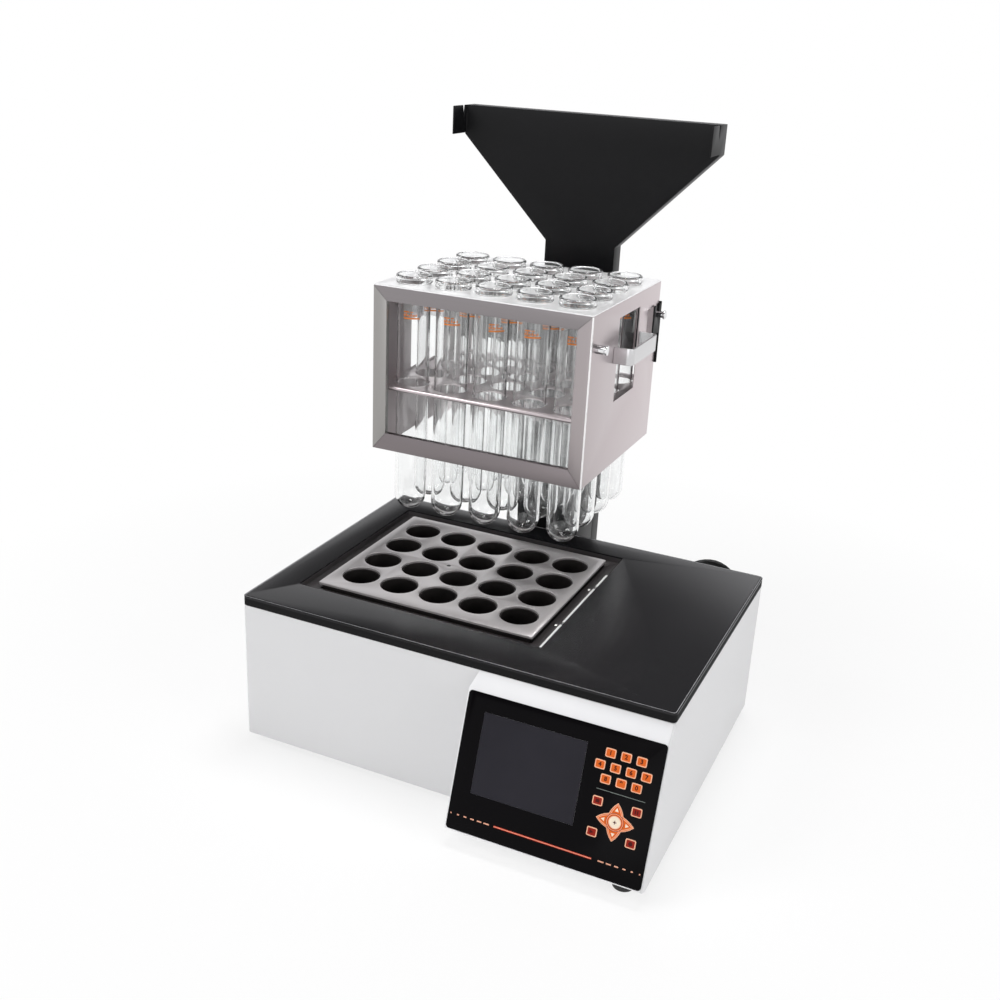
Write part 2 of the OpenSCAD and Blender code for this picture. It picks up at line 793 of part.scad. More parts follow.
module stand_back_plate() color([0.1, 0.1, 0.105]) in_frame() {
    difference() {
        translate([0, plate_yf + flange_d, 0]) rotate([90, 0, 0]) linear_extrude(flange_d)
            polygon(wing_outline());
        translate([0, plate_yf + flange_d + cut, 0]) rotate([90, 0, 0])
            linear_extrude(flange_d - stand_t + cut) polygon(inset(wing_outline(), stand_t));
    }
    wing_ear(mid_x - wing_w / 2);
    wing_ear(mid_x + wing_w / 2 - stand_t);
}

// Crossbeam on the post, its ears folded forward, with open notches for the rack's rear pins
module rack_bracket() color([0.08, 0.08, 0.085]) in_frame() {
    notch_r = pin_r + seat;
    ear_y = rear_pin_y - 13;
    translate([mid_x - beam_half, beam_y, beam_top - beam_h]) cube([2 * beam_half, stand_t, beam_h]);
    difference() {
        for (s = [-1, 1])
            translate([mid_x + s * (beam_half - stand_t / 2) - stand_t / 2, ear_y, pin_z - 26])
                cube([stand_t, beam_y + stand_t - ear_y, 38]);
        along_x(mid_x - beam_half - cut, 2 * beam_half + 2 * cut) {
            translate([rear_pin_y, pin_z]) circle(r = notch_r);
            polygon([
                [rear_pin_y - notch_r, pin_z],
                [rear_pin_y + notch_r, pin_z],
                [rear_pin_y + notch_r + 2.5, pin_z + 20],
                [rear_pin_y - notch_r - 2.5, pin_z + 20]
            ]);
        }
    }
}

module stand_bolts() color([0.5, 0.5, 0.52]) in_frame() {
    for (z = [z_base + bolt_low, z_base + bolt_mid, pin_z - bolt_top], s = [-1, 1])
        translate([mid_x + s * bolt_x, plate_yf + stand_t, z]) rotate([-90, 0, 0]) {
            cylinder(h = 1.2, r = 8);
            translate([0, 0, 1.2]) cylinder(h = 4.5, r = 6, $fn = 6);
        }
}

// ---------------------------------------------------------------- rack

module rack_top_plate() color([0.82, 0.81, 0.81]) in_frame() difference() {
    translate([mid_x, rack_front_y + rack_d / 2, rack_top - steel_t]) slab(rack_w, rack_d, steel_t, 1.5);
    at_places(row_y0) translate([0, 0, rack_top - steel_t - cut])
        cylinder(h = steel_t + 2 * cut, d = hole_d);
}

// Upright plate with a window, its edges folded inwards; y is its outer face and s points into the rack
module rack_frame(y, s) {
    h = rack_h - steel_t;
    w = rack_w - 2 * border_side;
    low = rack_low + border_low;
    high = rack_top - border_top - low;
    difference() {
        union() {
            translate([mid_x - rack_half, min(y, y + s * steel_t), rack_low]) cube([rack_w, steel_t, h]);
            translate([mid_x - w / 2 - steel_t, min(y, y + s * lip_fold), low - steel_t])
                cube([w + 2 * steel_t, lip_fold, high + 2 * steel_t]);
        }
        translate([mid_x - w / 2, y - 20, low]) cube([w, 40, high]);
    }
}

module rack_front_frame() color([0.66, 0.65, 0.65]) in_frame() rack_frame(rack_front_y, 1);

module rack_rear_frame() color([0.66, 0.65, 0.65]) in_frame() rack_frame(rack_back_y, -1);

// Side sheet with its window and the open cut-out near the rear pin; s is -1 on the left
module rack_side(s) {
    x = mid_x + s * (rack_half - steel_t / 2);
    y0 = rack_front_y + steel_t;
    y1 = rack_back_y - steel_t;
    difference() {
        translate([x - steel_t / 2, y0, rack_low]) cube([steel_t, y1 - y0, rack_h - steel_t]);
        translate([x - 5, window_y - window_w / 2, window_z - window_h]) cube([10, window_w, window_h]);
        translate([x - 5, rear_pin_y - 31, pin_z - 23]) cube([10, 24, 34]);
    }
}

module rack_side_left() color([0.7, 0.69, 0.68]) in_frame() rack_side(-1);

module rack_side_right() color([0.7, 0.69, 0.68]) in_frame() rack_side(1);

// Shelf with its front and rear edges folded down
module rack_shelf() color([0.7, 0.69, 0.69]) in_frame() {
    z = rack_low + shelf_up;
    y0 = rack_front_y + lip_fold + seat;
    y1 = rack_back_y - lip_fold - seat;
    w = rack_w - 2 * steel_t;
    difference() {
        translate([mid_x - w / 2, y0 + roll_r, z - steel_t]) cube([w, y1 - y0 - 2 * roll_r, steel_t]);
        at_places(row_y0) translate([0, 0, z - steel_t - cut]) cylinder(h = steel_t + 2 * cut, d = hole_d);
    }
    for (y = [y0 + roll_r, y1 - roll_r]) translate([mid_x - w / 2, y, z - roll_r])
        rotate([0, 90, 0]) cylinder(h = w, r = roll_r);
}

module strap_outline(out, length, r) {
    translate([0, -length / 2]) square([out - r, length]);
    translate([0, -length / 2 + r]) square([out, length - 2 * r]);
    for (s = [-1, 1]) translate([out - r, s * (length / 2 - r)]) circle(r);
}

// Folded strap handle; s is -1 on the left
module rack_handle(s) {
    translate([mid_x + s * rack_half, handle_y, pin_z - 30.5]) mirror([s < 0 ? 1 : 0, 0, 0])
        linear_extrude(strap_h) difference() {
            strap_outline(handle_out, handle_len, 8);
            translate([-cut, 0])
                strap_outline(handle_out - strap_t + cut, handle_len - 2 * strap_t, 8 - strap_t);
        }
}

module rack_handle_left() color([0.86, 0.86, 0.87]) in_frame() rack_handle(-1);

module rack_handle_right() color([0.86, 0.86, 0.87]) in_frame() rack_handle(1);

// Turned hanging pins with a head at the free end, two on each side
module rack_pin(s, y) translate([mid_x + s * rack_half, y, pin_z]) rotate([0, s * 90, 0]) {
    cylinder(h = pin_len - pin_head, r = pin_r);
    translate([0, 0, pin_len - pin_head]) cylinder(h = pin_head, r = pin_r + 1.5);
}

module rack_pins() color([0.85, 0.85, 0.86]) in_frame() {
    for (s = [-1, 1]) rack_pin(s, rear_pin_y);
    rack_pin(1, front_pin_y);
}

// ---------------------------------------------------------------- tubes

// Glass tube with a rolled rim and a round end, its wall thicker towards that end;
// i counts along a row and then to the rear
module digestion_tube(i) color([0.85, 0.93, 0.95, 0.35]) in_frame() {
    r = tube_d / 2;
    bore = r - tube_wall;
    rim_r = r + rim_flare;
    place = [mid_x - span_x / 2 + (i % COLS) * pitch, row_y0 + floor(i / COLS) * pitch, tube_top - tube_len];
    translate(place) difference() {
        union() {
            translate([0, 0, r]) sphere(r = r);
            translate([0, 0, r]) cylinder(h = tube_len - r - rim_h / 2, r = r);
            translate([0, 0, tube_len - rim_h / 2]) rotate_extrude() intersection() {
                rounded_rect(2 * rim_r, rim_h, 1.7);
                translate([0, -rim_h]) square([2 * rim_r, 2 * rim_h]);
            }
        }
        translate([0, 0, r]) sphere(r = bore - thick_more);
        translate([0, 0, r]) cylinder(h = thick_h - r, r1 = bore - thick_more, r2 = bore);
        translate([0, 0, thick_h]) cylinder(h = tube_len, r = bore);
    }
}

base_casing();
base_tray();
top_cover();
well_liner();
ledge_screws();
block_plate();
heating_block();
heater_plate();
block_standoffs();
block_insulation();
temperature_probe();
console_shell();
keypad_overlay();
display_window();
control_board();
power_relay();
feet();
switch_housing();
power_rocker();
cord_gland();
mains_cord();
cord_coil();
cord_tail();
mains_plug();
stand_foot_box();
stand_post();
stand_back_plate();
rack_bracket();
stand_bolts();
rack_top_plate();
rack_side_left();
rack_side_right();
rack_front_frame();
rack_rear_frame();
rack_shelf();
rack_handle_left();
rack_handle_right();
rack_pins();
for (i = [0 : len(TUBE_NAMES) - 1]) digestion_tube(i);
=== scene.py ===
import math
import random
from functools import partial

import bmesh
import bpy
from mathutils import Matrix, Vector


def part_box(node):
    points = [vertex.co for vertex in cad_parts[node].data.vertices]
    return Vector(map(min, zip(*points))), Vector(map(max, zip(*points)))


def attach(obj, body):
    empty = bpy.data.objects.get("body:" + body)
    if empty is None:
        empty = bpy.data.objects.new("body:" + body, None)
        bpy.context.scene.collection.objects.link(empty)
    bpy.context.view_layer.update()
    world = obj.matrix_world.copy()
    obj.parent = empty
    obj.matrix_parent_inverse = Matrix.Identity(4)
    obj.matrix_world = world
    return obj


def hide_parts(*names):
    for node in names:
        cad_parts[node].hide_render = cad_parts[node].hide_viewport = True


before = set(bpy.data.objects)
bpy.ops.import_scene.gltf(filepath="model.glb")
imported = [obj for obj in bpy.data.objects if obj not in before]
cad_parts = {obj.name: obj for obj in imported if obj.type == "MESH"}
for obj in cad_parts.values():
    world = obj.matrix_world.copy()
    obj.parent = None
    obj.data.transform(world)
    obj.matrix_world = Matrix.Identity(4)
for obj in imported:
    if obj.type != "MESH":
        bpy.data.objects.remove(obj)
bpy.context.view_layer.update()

bl_info = {
    "name": "Block digester looks",
    "version": (1, 0, 0),
    "blender": (4, 2, 0),
    "location": "View3D > Sidebar > Digester",
    "description": "Dresses the digester's frame: sheet metal, glass tubes, console, stand and lead",
    "category": "Object",
}

MM = 0.001
# The frame's shift along Y from the part's own places
SHIFT_Y = -52.125 * MM

# Camera fitted to the photograph, in the frame's metres
CAMERA_AT = Vector((0.51044, -1.20526 + SHIFT_Y, 0.83258))
CAMERA_YAW = 0.4167
CAMERA_PITCH = 0.3811
CAMERA_ROLL = 0.05
CAMERA_FOCAL = 1.20082
SENSOR = 36.0

# The console's slope: left end of its upper edge, and its lean from the upright
SLOPE_AT = Vector((38.0 * MM, -194.8 * MM + SHIFT_Y, 169.1 * MM))
SLOPE_LEAN = math.atan2(48.7, 149.1)
SLOPE_UP = Vector((0, math.sin(SLOPE_LEAN), math.cos(SLOPE_LEAN)))
SLOPE_OUT = Vector((0, -math.cos(SLOPE_LEAN), math.sin(SLOPE_LEAN)))
OVERLAY_T = 0.8

# Keys and lines on the overlay in millimetres: left and down from the slope's upper left corner
DIGIT_ROWS = (
    (25.5, (166.3, 183.0, 199.6), "123"),
    (39.6, (157.3, 174.1, 190.8, 207.3), "4567"),
    (53.2, (165.9, 182.7, 199.2), "890"),
)
FUNCTION_KEYS = ((161.9, 77.3), (204.0, 77.3), (161.8, 110.5), (203.8, 110.6))
STAR_AT = (183.8, 93.9)
STAR_REACH = 20.5
STRIPE_DOWN = 138.0
STRIPE_ENDS = (55.9, 166.5)
DASHES_FROM = (5.3, 219.0)
DIVIDER_DOWN = 64.8
DIVIDER_ENDS = (158.2, 210.7)

# The painted highlight, a bright strip on the trough's wall beside the block, in millimetres: its faces in X,
# its stretches in Y
HIGHLIGHT_X = (87.7, 90.0)
HIGHLIGHT_STRETCHES = ((-124.7, -64.5), (-57.0, 41.5), (49.0, 86.0))

# The lead's route in millimetres, as in the part's source, and its coil
CORD_D = 8 * MM
COIL_AT = (150, 300)
COIL_MEAN = 44
COIL_TURNS = 5.25
LEAD_ROUTE = (
    (150, 219, 159), (150, 231, 159), (152, 243, 160), (158, 254, 162), (168, 262, 164), (181, 266, 164),
    (195, 266, 160), (207, 264, 151), (215, 260, 136), (218, 258, 116), (217, 257, 94), (213, 258, 70),
    (208, 258, 54), (204, 259, 40), (201, 264, 26), (199, 273, 14), (198, 285, 7), (198, 300, 4),
)
TAIL_ROUTE = ((150, 348, 20), (134, 348, 19), (118, 348, 16), (103, 348, 13), (88, 348, 13))

TUBES = ["tube_%02d" % n for n in range(1, 21)]


# -------------------- shader tools

def feed(tree, slot, value):
    """Links a socket to a slot, or sets the slot's own value."""
    if isinstance(value, Num):
        value = value.socket
    if isinstance(value, bpy.types.NodeSocket):
        tree.links.new(value, slot)
    else:
        slot.default_value = value


def add_node(tree, kind, settings=None, **slots):
    """A node of any kind: its settings come first, then the values or links of its slots."""
    node = tree.nodes.new(kind)
    for key, value in (settings or {}).items():
        setattr(node, key, value)
    for key, value in slots.items():
        feed(tree, node.inputs[key.replace("_", " ")], value)
    return node


class Num:
    """A number socket in a material, so that sums can be written as expressions."""

    def __init__(self, look, socket):
        self.look = look
        self.socket = socket

    def math(self, kind, *others, clamp=False):
        node = self.look.node("Math", {"operation": kind, "use_clamp": clamp})
        for slot, value in zip(node.inputs, (self,) + others):
            feed(self.look.tree, slot, value)
        return Num(self.look, node.outputs[0])

    def __add__(self, other):
        return self.math("ADD", other)

    __radd__ = __add__

    def __sub__(self, other):
        return self.math("SUBTRACT", other)

    def __rsub__(self, other):
        return (self * -1) + other

    def __mul__(self, other):
        return self.math("MULTIPLY", other)

    __rmul__ = __mul__

    def __truediv__(self, other):
        return self.math("DIVIDE", other)

    def clamp(self):
        return self.math("MULTIPLY", 1.0, clamp=True)


class Look:
    """A material or a world under construction."""

    def __init__(self, name, world=False):
        kinds = bpy.data.worlds if world else bpy.data.materials
        self.made = kinds.new(name)
        self.made.use_nodes = True
        self.tree = self.made.node_tree
        self.tree.nodes.clear()
        self.out = self.node("OutputWorld" if world else "OutputMaterial")

    def node(self, kind, settings=None, **slots):
        return add_node(self.tree, "ShaderNode" + kind, settings, **slots)

    def place(self, stretch=(1, 1, 1)):
        at = self.node("TexCoord").outputs["Object"]
        return self.node("Mapping", Vector=at, Scale=stretch).outputs[0]

    def along(self, axis, start, end):
        """0 to 1 between two places on an axis of the object."""
        at = self.node("SeparateXYZ", Vector=self.node("TexCoord").outputs["Object"]).outputs[axis]
        return ((Num(self, at) - start) / (end - start)).clamp()

    def noise(self, scale, detail=3.0, rough=0.5, stretch=(1, 1, 1)):
        at = self.place(stretch)
        node = self.node("TexNoise", Vector=at, Scale=scale, Detail=detail, Roughness=rough)
        return Num(self, node.outputs[0])

    def blend(self, amount, first, second):
        """Mixes two colours, each of them a link or three numbers."""
        node = self.node("Mix", {"data_type": "RGBA"}, Factor=amount)
        for slot, colour in zip(node.inputs[6:8], (first, second)):
            feed(self.tree, slot, colour if isinstance(colour, bpy.types.NodeSocket) else (*colour, 1))
        return node.outputs[2]

    def mottle(self, amount, colour, low, high):
        """A colour that wanders between two tints of itself."""
        return self.blend(amount, tint(colour, low), tint(colour, high))

    def bump(self, height, strength, distance):
        return self.node("Bump", Strength=strength, Distance=distance, Height=height).outputs[0]

    def finish(self, shader):
        self.tree.links.new(shader.outputs[0], self.out.inputs["Surface"])
        return self.made

    def surface(self, **slots):
        return self.finish(self.node("BsdfPrincipled", **slots))

    def veiled(self, amount, first, second):
        """Ends in the second shader over the first, by an amount from 0 to 1."""
        mix = self.node("MixShader")
        for slot, value in zip(mix.inputs, (amount, first.outputs[0], second.outputs[0])):
            feed(self.tree, slot, value)
        return self.finish(mix)


def tint(colour, factor):
    return tuple(min(1.0, c * factor) for c in colour)


def coated(name, colour, rough=0.45, peel=0.25, spread=0.04, gloss=0.5, painted_light_blends=(), dull=None):
    """Powder coat: an orange-peel surface with faint cloudiness; its fades are painted light or shade along
    an axis, and dull makes it duller along an axis.
    """
    look = Look(name)
    cloud = look.noise(9.0, 4.0)
    grain = look.noise(1500.0, 2.0)
    base = look.mottle(cloud, colour, 1 - spread, 1 + spread)
    # Each fade paints light or shade on the coat along an axis
    for axis, start, end, other in painted_light_blends:
        base = look.blend(look.along(axis, start, end), base, other)
    matt = rough + (cloud - 0.5) * 0.1 + (grain - 0.5) * 0.06
    if dull:
        matt = matt + look.along(*dull) * 0.55
    return look.surface(
        Base_Color=base,
        Roughness=matt,
        Specular_IOR_Level=gloss,
        Normal=look.bump(look.noise(900.0, 2.0), peel, 0.0002),
    )


def brushed(name, colour, rough=0.3, stretch=(6, 900, 900), depth=0.12, spread=0.06, painted_light_fade=None, metal=1.0):
    """Sheet metal brushed along the axis with the smallest stretch; its fade is painted light or shade along
    an axis.
    """
    look = Look(name)
    lines = look.noise(1.0, 3.0, 0.65, stretch)
    cloud = look.noise(7.0, 3.0)
    grain = (lines * 0.6 + cloud * 0.4).clamp()
    base = look.mottle(grain, colour, 1 - spread, 1 + spread)
    # The fade paints light or shade on the metal along an axis
    if painted_light_fade:
        axis, start, end, other = painted_light_fade
        far = look.mottle(grain, other, 1 - spread, 1 + spread)
        base = look.blend(look.along(axis, start, end), base, far)
    return look.surface(
        Base_Color=base,
        Metallic=metal,
        Roughness=rough + (lines - 0.5) * 0.16 + (cloud - 0.5) * 0.08,
        Normal=look.bump(lines, depth, 0.0002),
    )


def polished(name, colour, rough=0.12):
    """Turned or polished metal with hairline marks."""
    look = Look(name)
    hair = look.noise(1.0, 2.0, 0.6, (300, 300, 2500))
    haze = look.noise(60.0, 3.0)
    return look.surface(
        Base_Color=look.mottle(haze, colour, 0.94, 1.04),
        Metallic=1.0,
        Roughness=rough + (haze - 0.5) * 0.08 + (hair - 0.5) * 0.04,
        Normal=look.bump(hair, 0.05, 0.0001),
    )


def moulded(name, colour, rough=0.5, grain=700.0, depth=0.25, gloss=0.5):
    """Moulded plastic or rubber with an eroded mould texture."""
    look = Look(name)
    cells = look.noise(grain, 4.0, 0.6)
    return look.surface(
        Base_Color=look.mottle(look.noise(20.0, 3.0), colour, 0.85, 1.2),
        Roughness=rough + (cells - 0.5) * 0.2,
        Specular_IOR_Level=gloss,
        Normal=look.bump(cells, depth, 0.0002),
    )


def printed(name, colour, rough=0.32):
    """Silk-screened ink: even colour with a little mottling from the mesh."""
    look = Look(name)
    mesh = look.noise(2600.0, 2.0)
    return look.surface(
        Base_Color=look.mottle(look.noise(180.0, 2.0), colour, 0.9, 1.08),
        Roughness=rough + (mesh - 0.5) * 0.12,
        Specular_IOR_Level=0.15,
        Normal=look.bump(mesh, 0.08, 0.00005),
    )


def glassy(name, colour):
    """Blown glass, its wall slightly wavy along its length; light that only passes through isn't held up."""
    look = Look(name)
    wave = look.noise(1.0, 2.0, 0.4, (60, 60, 9))
    seed = look.noise(260.0, 1.0)
    glass = look.node(
        "BsdfPrincipled",
        Base_Color=look.mottle(wave, colour, 0.985, 1.0),
        Roughness=(seed - 0.5) * 0.02 + 0.01,
        Normal=look.bump(wave, 0.12, 0.001),
        Transmission_Weight=1.0,
        IOR=1.5,
    )
    clear = look.node("BsdfTransparent", Color=(0.97, 0.975, 0.975, 1))
    rays = look.node("LightPath").outputs
    passing = Num(look, rays["Is Shadow Ray"]).math("MAXIMUM", rays["Is Diffuse Ray"])
    return look.veiled(passing, glass, clear)


def film(name, colour, rough=0.16):
    """Glossy printed film: almost flat, with the film's faint ripple in its reflection."""
    look = Look(name)
    ripple = look.noise(14.0, 2.0)
    dust = look.noise(1200.0, 2.0)
    return look.surface(
        Base_Color=look.mottle(ripple, colour, 0.8, 1.25),
        Roughness=rough + (dust - 0.5) * 0.05 + (ripple - 0.5) * 0.04,
        Specular_IOR_Level=0.06,
        Normal=look.bump(ripple, 0.05, 0.002),
    )


def heat_stained(name, colour, warm):
    """Aluminium darkened unevenly by heat, with fine milling lines."""
    look = Look(name)
    stain = look.noise(16.0, 5.0, 0.6)
    lines = look.noise(1.0, 2.0, 0.5, (700, 700, 25))
    return look.surface(
        Base_Color=look.blend((stain * 1.6 - 0.3).clamp(), colour, warm),
        Metallic=0.7,
        Roughness=0.45 + (stain - 0.5) * 0.25,
        Normal=look.bump(lines, 0.15, 0.0003),
    )


def fibrous(name, colour):
    """Mineral wool: matted fibres that lie along the slab."""
    look = Look(name)
    fibre = look.noise(1.0, 6.0, 0.7, (500, 500, 160))
    return look.surface(
        Base_Color=look.mottle(fibre, colour, 0.7, 1.15),
        Roughness=0.95,
        Normal=look.bump(fibre, 0.9, 0.003),
    )


def board_look(name, colour):
    """Circuit board: copper tracks under a solder mask."""
    look = Look(name)
    wander = look.noise(1.0, 0.0, 0.5, (260, 40, 260)) - 0.5
    track = wander.math("ABSOLUTE").math("GREATER_THAN", 0.06)
    return look.surface(
        Base_Color=look.mottle(track, colour, 1.6, 1.0),
        Roughness=0.35 + track * 0.1,
        Normal=look.bump(track, 0.2, 0.0001),
    )


def floor_look(name, colour):
    """Pale floor that stays white to the camera and still takes the shadow."""
    look = Look(name)
    paper = look.mottle(look.noise(40.0, 3.0), colour, 0.99, 1.0)
    cover = look.node("BsdfPrincipled", Base_Color=paper, Roughness=0.9, Specular_IOR_Level=0.1)
    glow = look.node("Emission", Color=(1, 1, 1, 1), Strength=1.0)
    rays = look.node("LightPath").outputs
    seen = Num(look, rays["Is Camera Ray"]) + rays["Is Glossy Ray"] + rays["Is Transmission Ray"]
    place = look.node("TexCoord").outputs["Object"]
    away = look.node("VectorMath", {"operation": "LENGTH"}, Vector=place)
    far = ((Num(look, away.outputs["Value"]) - 0.45) / 0.5).clamp()
    return look.veiled(seen.clamp() * (far * 0.24 + 0.76), cover, glow)


# -------------------- mesh tools

def linked(name, data):
    """A new object in the scene that shows the data."""
    thing = bpy.data.objects.new(name, data)
    bpy.context.scene.collection.objects.link(thing)
    return thing


def new_piece(name, form, material=None, body="base", smooth=None):
    """Makes a mesh, or a bmesh that it finishes, a piece of the object and rides it on a body."""
    mesh = finished_mesh(form, name) if isinstance(form, bmesh.types.BMesh) else form
    piece = linked(name, mesh)
    if material is not None:
        paint(mesh, material)
    if smooth is not None:
        shade(mesh, smooth)
    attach(piece, body)
    return piece


def paint(mesh, material):
    mesh.materials.clear()
    mesh.materials.append(material)


def shade(mesh, angle):
    """Smooth shading with edges sharper than the angle, in degrees, kept crisp."""
    mesh.polygons.foreach_set("use_smooth", [True] * len(mesh.polygons))
    bm = bmesh.new()
    bm.from_mesh(mesh)
    limit = math.radians(angle)
    for edge in bm.edges:
        edge.smooth = len(edge.link_faces) == 2 and edge.calc_face_angle(0.0) < limit
    bm.to_mesh(mesh)
    bm.free()


def finished_mesh(bm, name):
    bmesh.ops.recalc_face_normals(bm, faces=bm.faces)
    mesh = bpy.data.meshes.new(name)
    bm.to_mesh(mesh)
    bm.free()
    return mesh


def plain_mesh(holder):
    """The holder's mesh with its modifiers applied; the holder itself is removed."""
    graph = bpy.context.evaluated_depsgraph_get()
    mesh = bpy.data.meshes.new_from_object(holder.evaluated_get(graph))
    bpy.data.objects.remove(holder)
    return mesh


def welded(node):
    """The CAD node's form as a clean mesh of its own: merged corners and whole faces."""
    bm = bmesh.new()
    bm.from_mesh(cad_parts[node].data)
    bmesh.ops.remove_doubles(bm, verts=bm.verts, dist=0.00002)
    bmesh.ops.dissolve_limit(bm, angle_limit=math.radians(0.8), verts=bm.verts, edges=bm.edges)
    return finished_mesh(bm, node + "_mesh")


def rounded(mesh, width, segments=2):
    """The mesh with its folded and cut edges rounded."""
    holder = linked("rounded", mesh)
    bevel = holder.modifiers.new("edges", "BEVEL")
    bevel.width = width
    bevel.segments = segments
    bevel.limit_method = "ANGLE"
    bevel.angle_limit = math.radians(30)
    return plain_mesh(holder)


def softened(node, width, material, body="base", segments=2):
    """A CAD node with rounded edges, in a piece that stands for it."""
    piece = new_piece(node + "_skin", rounded(welded(node), width, segments), material, body, 35)
    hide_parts(node)
    return piece


def dress(node, material):
    """Gives a carried-over CAD node its material."""
    paint(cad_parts[node].data, material)


def skin(bm, rings, looped=False, capped=False):
    """Faces between rings of as many corners; looped joins the last to the first, capped closes the ends."""
    n = len(rings[0])
    for a, b in zip(rings, rings[1:] + rings[:looped]):
        for k in range(n):
            j = (k + 1) % n
            bm.faces.new((a[k], a[j], b[j], b[k]))
    if capped:
        bm.faces.new(rings[-1])
        bm.faces.new(list(reversed(rings[0])))


def spun(bm, outline, segments, at, turn=None):
    """Revolves an outline of (radius, height) pairs about Z; a radius of 0 closes in a pole."""
    rings = []
    for radius, height in outline:
        if radius < 1e-9:
            rings.append([bm.verts.new((0, 0, height))])
            continue
        corners = arc(0, 0, radius, 0, 360 - 360 / segments, segments - 1)
        rings.append([bm.verts.new((x, y, height)) for x, y in corners])
    for low, high in zip(rings, rings[1:]):
        for k in range(segments):
            j = (k + 1) % segments
            face = [low[k % len(low)], low[j % len(low)], high[j % len(high)], high[k % len(high)]]
            bm.faces.new(list(dict.fromkeys(face)))
    matrix = Matrix.Translation(at) @ (turn or Matrix())
    for ring in rings:
        for vert in ring:
            vert.co = matrix @ vert.co


def arc(cx, cy, r, start, end, steps):
    """Points of an arc as (x, y), from start to end degrees."""
    return [
        (cx + r * math.cos(math.radians(a)), cy + r * math.sin(math.radians(a)))
        for a in (start + (end - start) * k / steps for k in range(steps + 1))
    ]


def rounded_box(w, h, r, steps=5):
    """Corner points of a rounded rectangle about the origin, counter-clockwise."""
    points = []
    for sx, sy, start in ((1, 1, 0), (-1, 1, 90), (-1, -1, 180), (1, -1, 270)):
        points += arc(sx * (w / 2 - r), sy * (h / 2 - r), r, start, start + 90, steps)
    return points


def shifted(outline, at):
    return [(x + at[0], y + at[1]) for x, y in outline]


def turned(outline, degrees):
    cos_t, sin_t = math.cos(math.radians(degrees)), math.sin(math.radians(degrees))
    return [(x * cos_t - y * sin_t, x * sin_t + y * cos_t) for x, y in outline]


def on_slope(x, down, out):
    """A point over the console's overlay, given in millimetres; out is its height above the film."""
    return SLOPE_AT + Vector((x * MM, 0, 0)) - SLOPE_UP * (down * MM) + SLOPE_OUT * ((OVERLAY_T + out) * MM)


def slope_place(x, down, out, facing=1):
    """The matrix that lays a flat shape on the slope, mirrored along X when facing is -1."""
    at = on_slope(x, down, out)
    return Matrix((
        (facing, 0, 0, at.x),
        (0, SLOPE_UP.y, SLOPE_OUT.y, at.y),
        (0, SLOPE_UP.z, SLOPE_OUT.z, at.z),
        (0, 0, 0, 1),
    ))


def slope_tile(bm, outline, at, low, high, edge=0.0):
    """A thin raised shape on the overlay, its outline about a place, with a small top bevel."""
    cx = sum(p[0] for p in outline) / len(outline)
    cy = sum(p[1] for p in outline) / len(outline)
    levels = [(low, 0.0), (high - edge, 0.0), (high, edge)] if edge else [(low, 0.0), (high, 0.0)]
    rings = []
    for out, shrink in levels:
        ring = []
        for x, y in outline:
            reach = math.hypot(x - cx, y - cy)
            keep = (reach - shrink) / reach if reach else 1
            place = on_slope(at[0] + cx + (x - cx) * keep, at[1] + cy + (y - cy) * keep, out)
            ring.append(bm.verts.new(place))
        rings.append(ring)
    skin(bm, rings, capped=True)


def slope_ring(bm, outer, inner, at, low, high):
    """A thin raised line between two outlines with as many points."""
    rings = [
        [bm.verts.new(on_slope(x + at[0], y + at[1], out)) for x, y in outline]
        for outline, out in ((outer, low), (outer, high), (inner, high), (inner, low))
    ]
    skin(bm, rings, looped=True)


def slope_text(bm, text, x, down, height, out):
    """Adds generic lettering, such as a digit on a key, to a thin mesh on the slope."""
    curve = bpy.data.curves.new("glyph", "FONT")
    curve.body = text
    curve.size = height * MM * 1.35
    curve.align_x = "CENTER"
    curve.align_y = "CENTER"
    curve.extrude = 0.04 * MM
    curve.offset = height * MM * 0.05
    mesh = plain_mesh(linked("glyph", curve))
    bpy.data.curves.remove(curve)
    add_mesh(bm, mesh, slope_place(x, down, out))


def add_mesh(bm, mesh, place):
    mesh.transform(place)
    bm.from_mesh(mesh)
    bpy.data.meshes.remove(mesh)


# -------------------- node groups for what repeats

def open_tree(name, takes_mesh, **inputs):
    """A new geometry tree with its named inputs and their defaults, and the sockets that hand them on."""
    tree = bpy.data.node_groups.new(name, "GeometryNodeTree")
    tree.interface.new_socket(name="Geometry", in_out="OUTPUT", socket_type="NodeSocketGeometry")
    if takes_mesh:
        tree.interface.new_socket(name="Geometry", in_out="INPUT", socket_type="NodeSocketGeometry")
    for key, default in inputs.items():
        kind = "NodeSocketInt" if isinstance(default, int) else "NodeSocketFloat"
        socket = tree.interface.new_socket(name=key.replace("_", " "), in_out="INPUT", socket_type=kind)
        socket.default_value = default
    return tree, add_node(tree, "NodeGroupInput").outputs


def close_tree(tree, geometry, material):
    """Ends the tree in real geometry with its material."""
    real = add_node(tree, "GeometryNodeRealizeInstances", Geometry=geometry)
    painted = add_node(tree, "GeometryNodeSetMaterial", Geometry=real.outputs[0], Material=material)
    feed(tree, add_node(tree, "NodeGroupOutput").inputs[0], painted.outputs[0])
    return tree


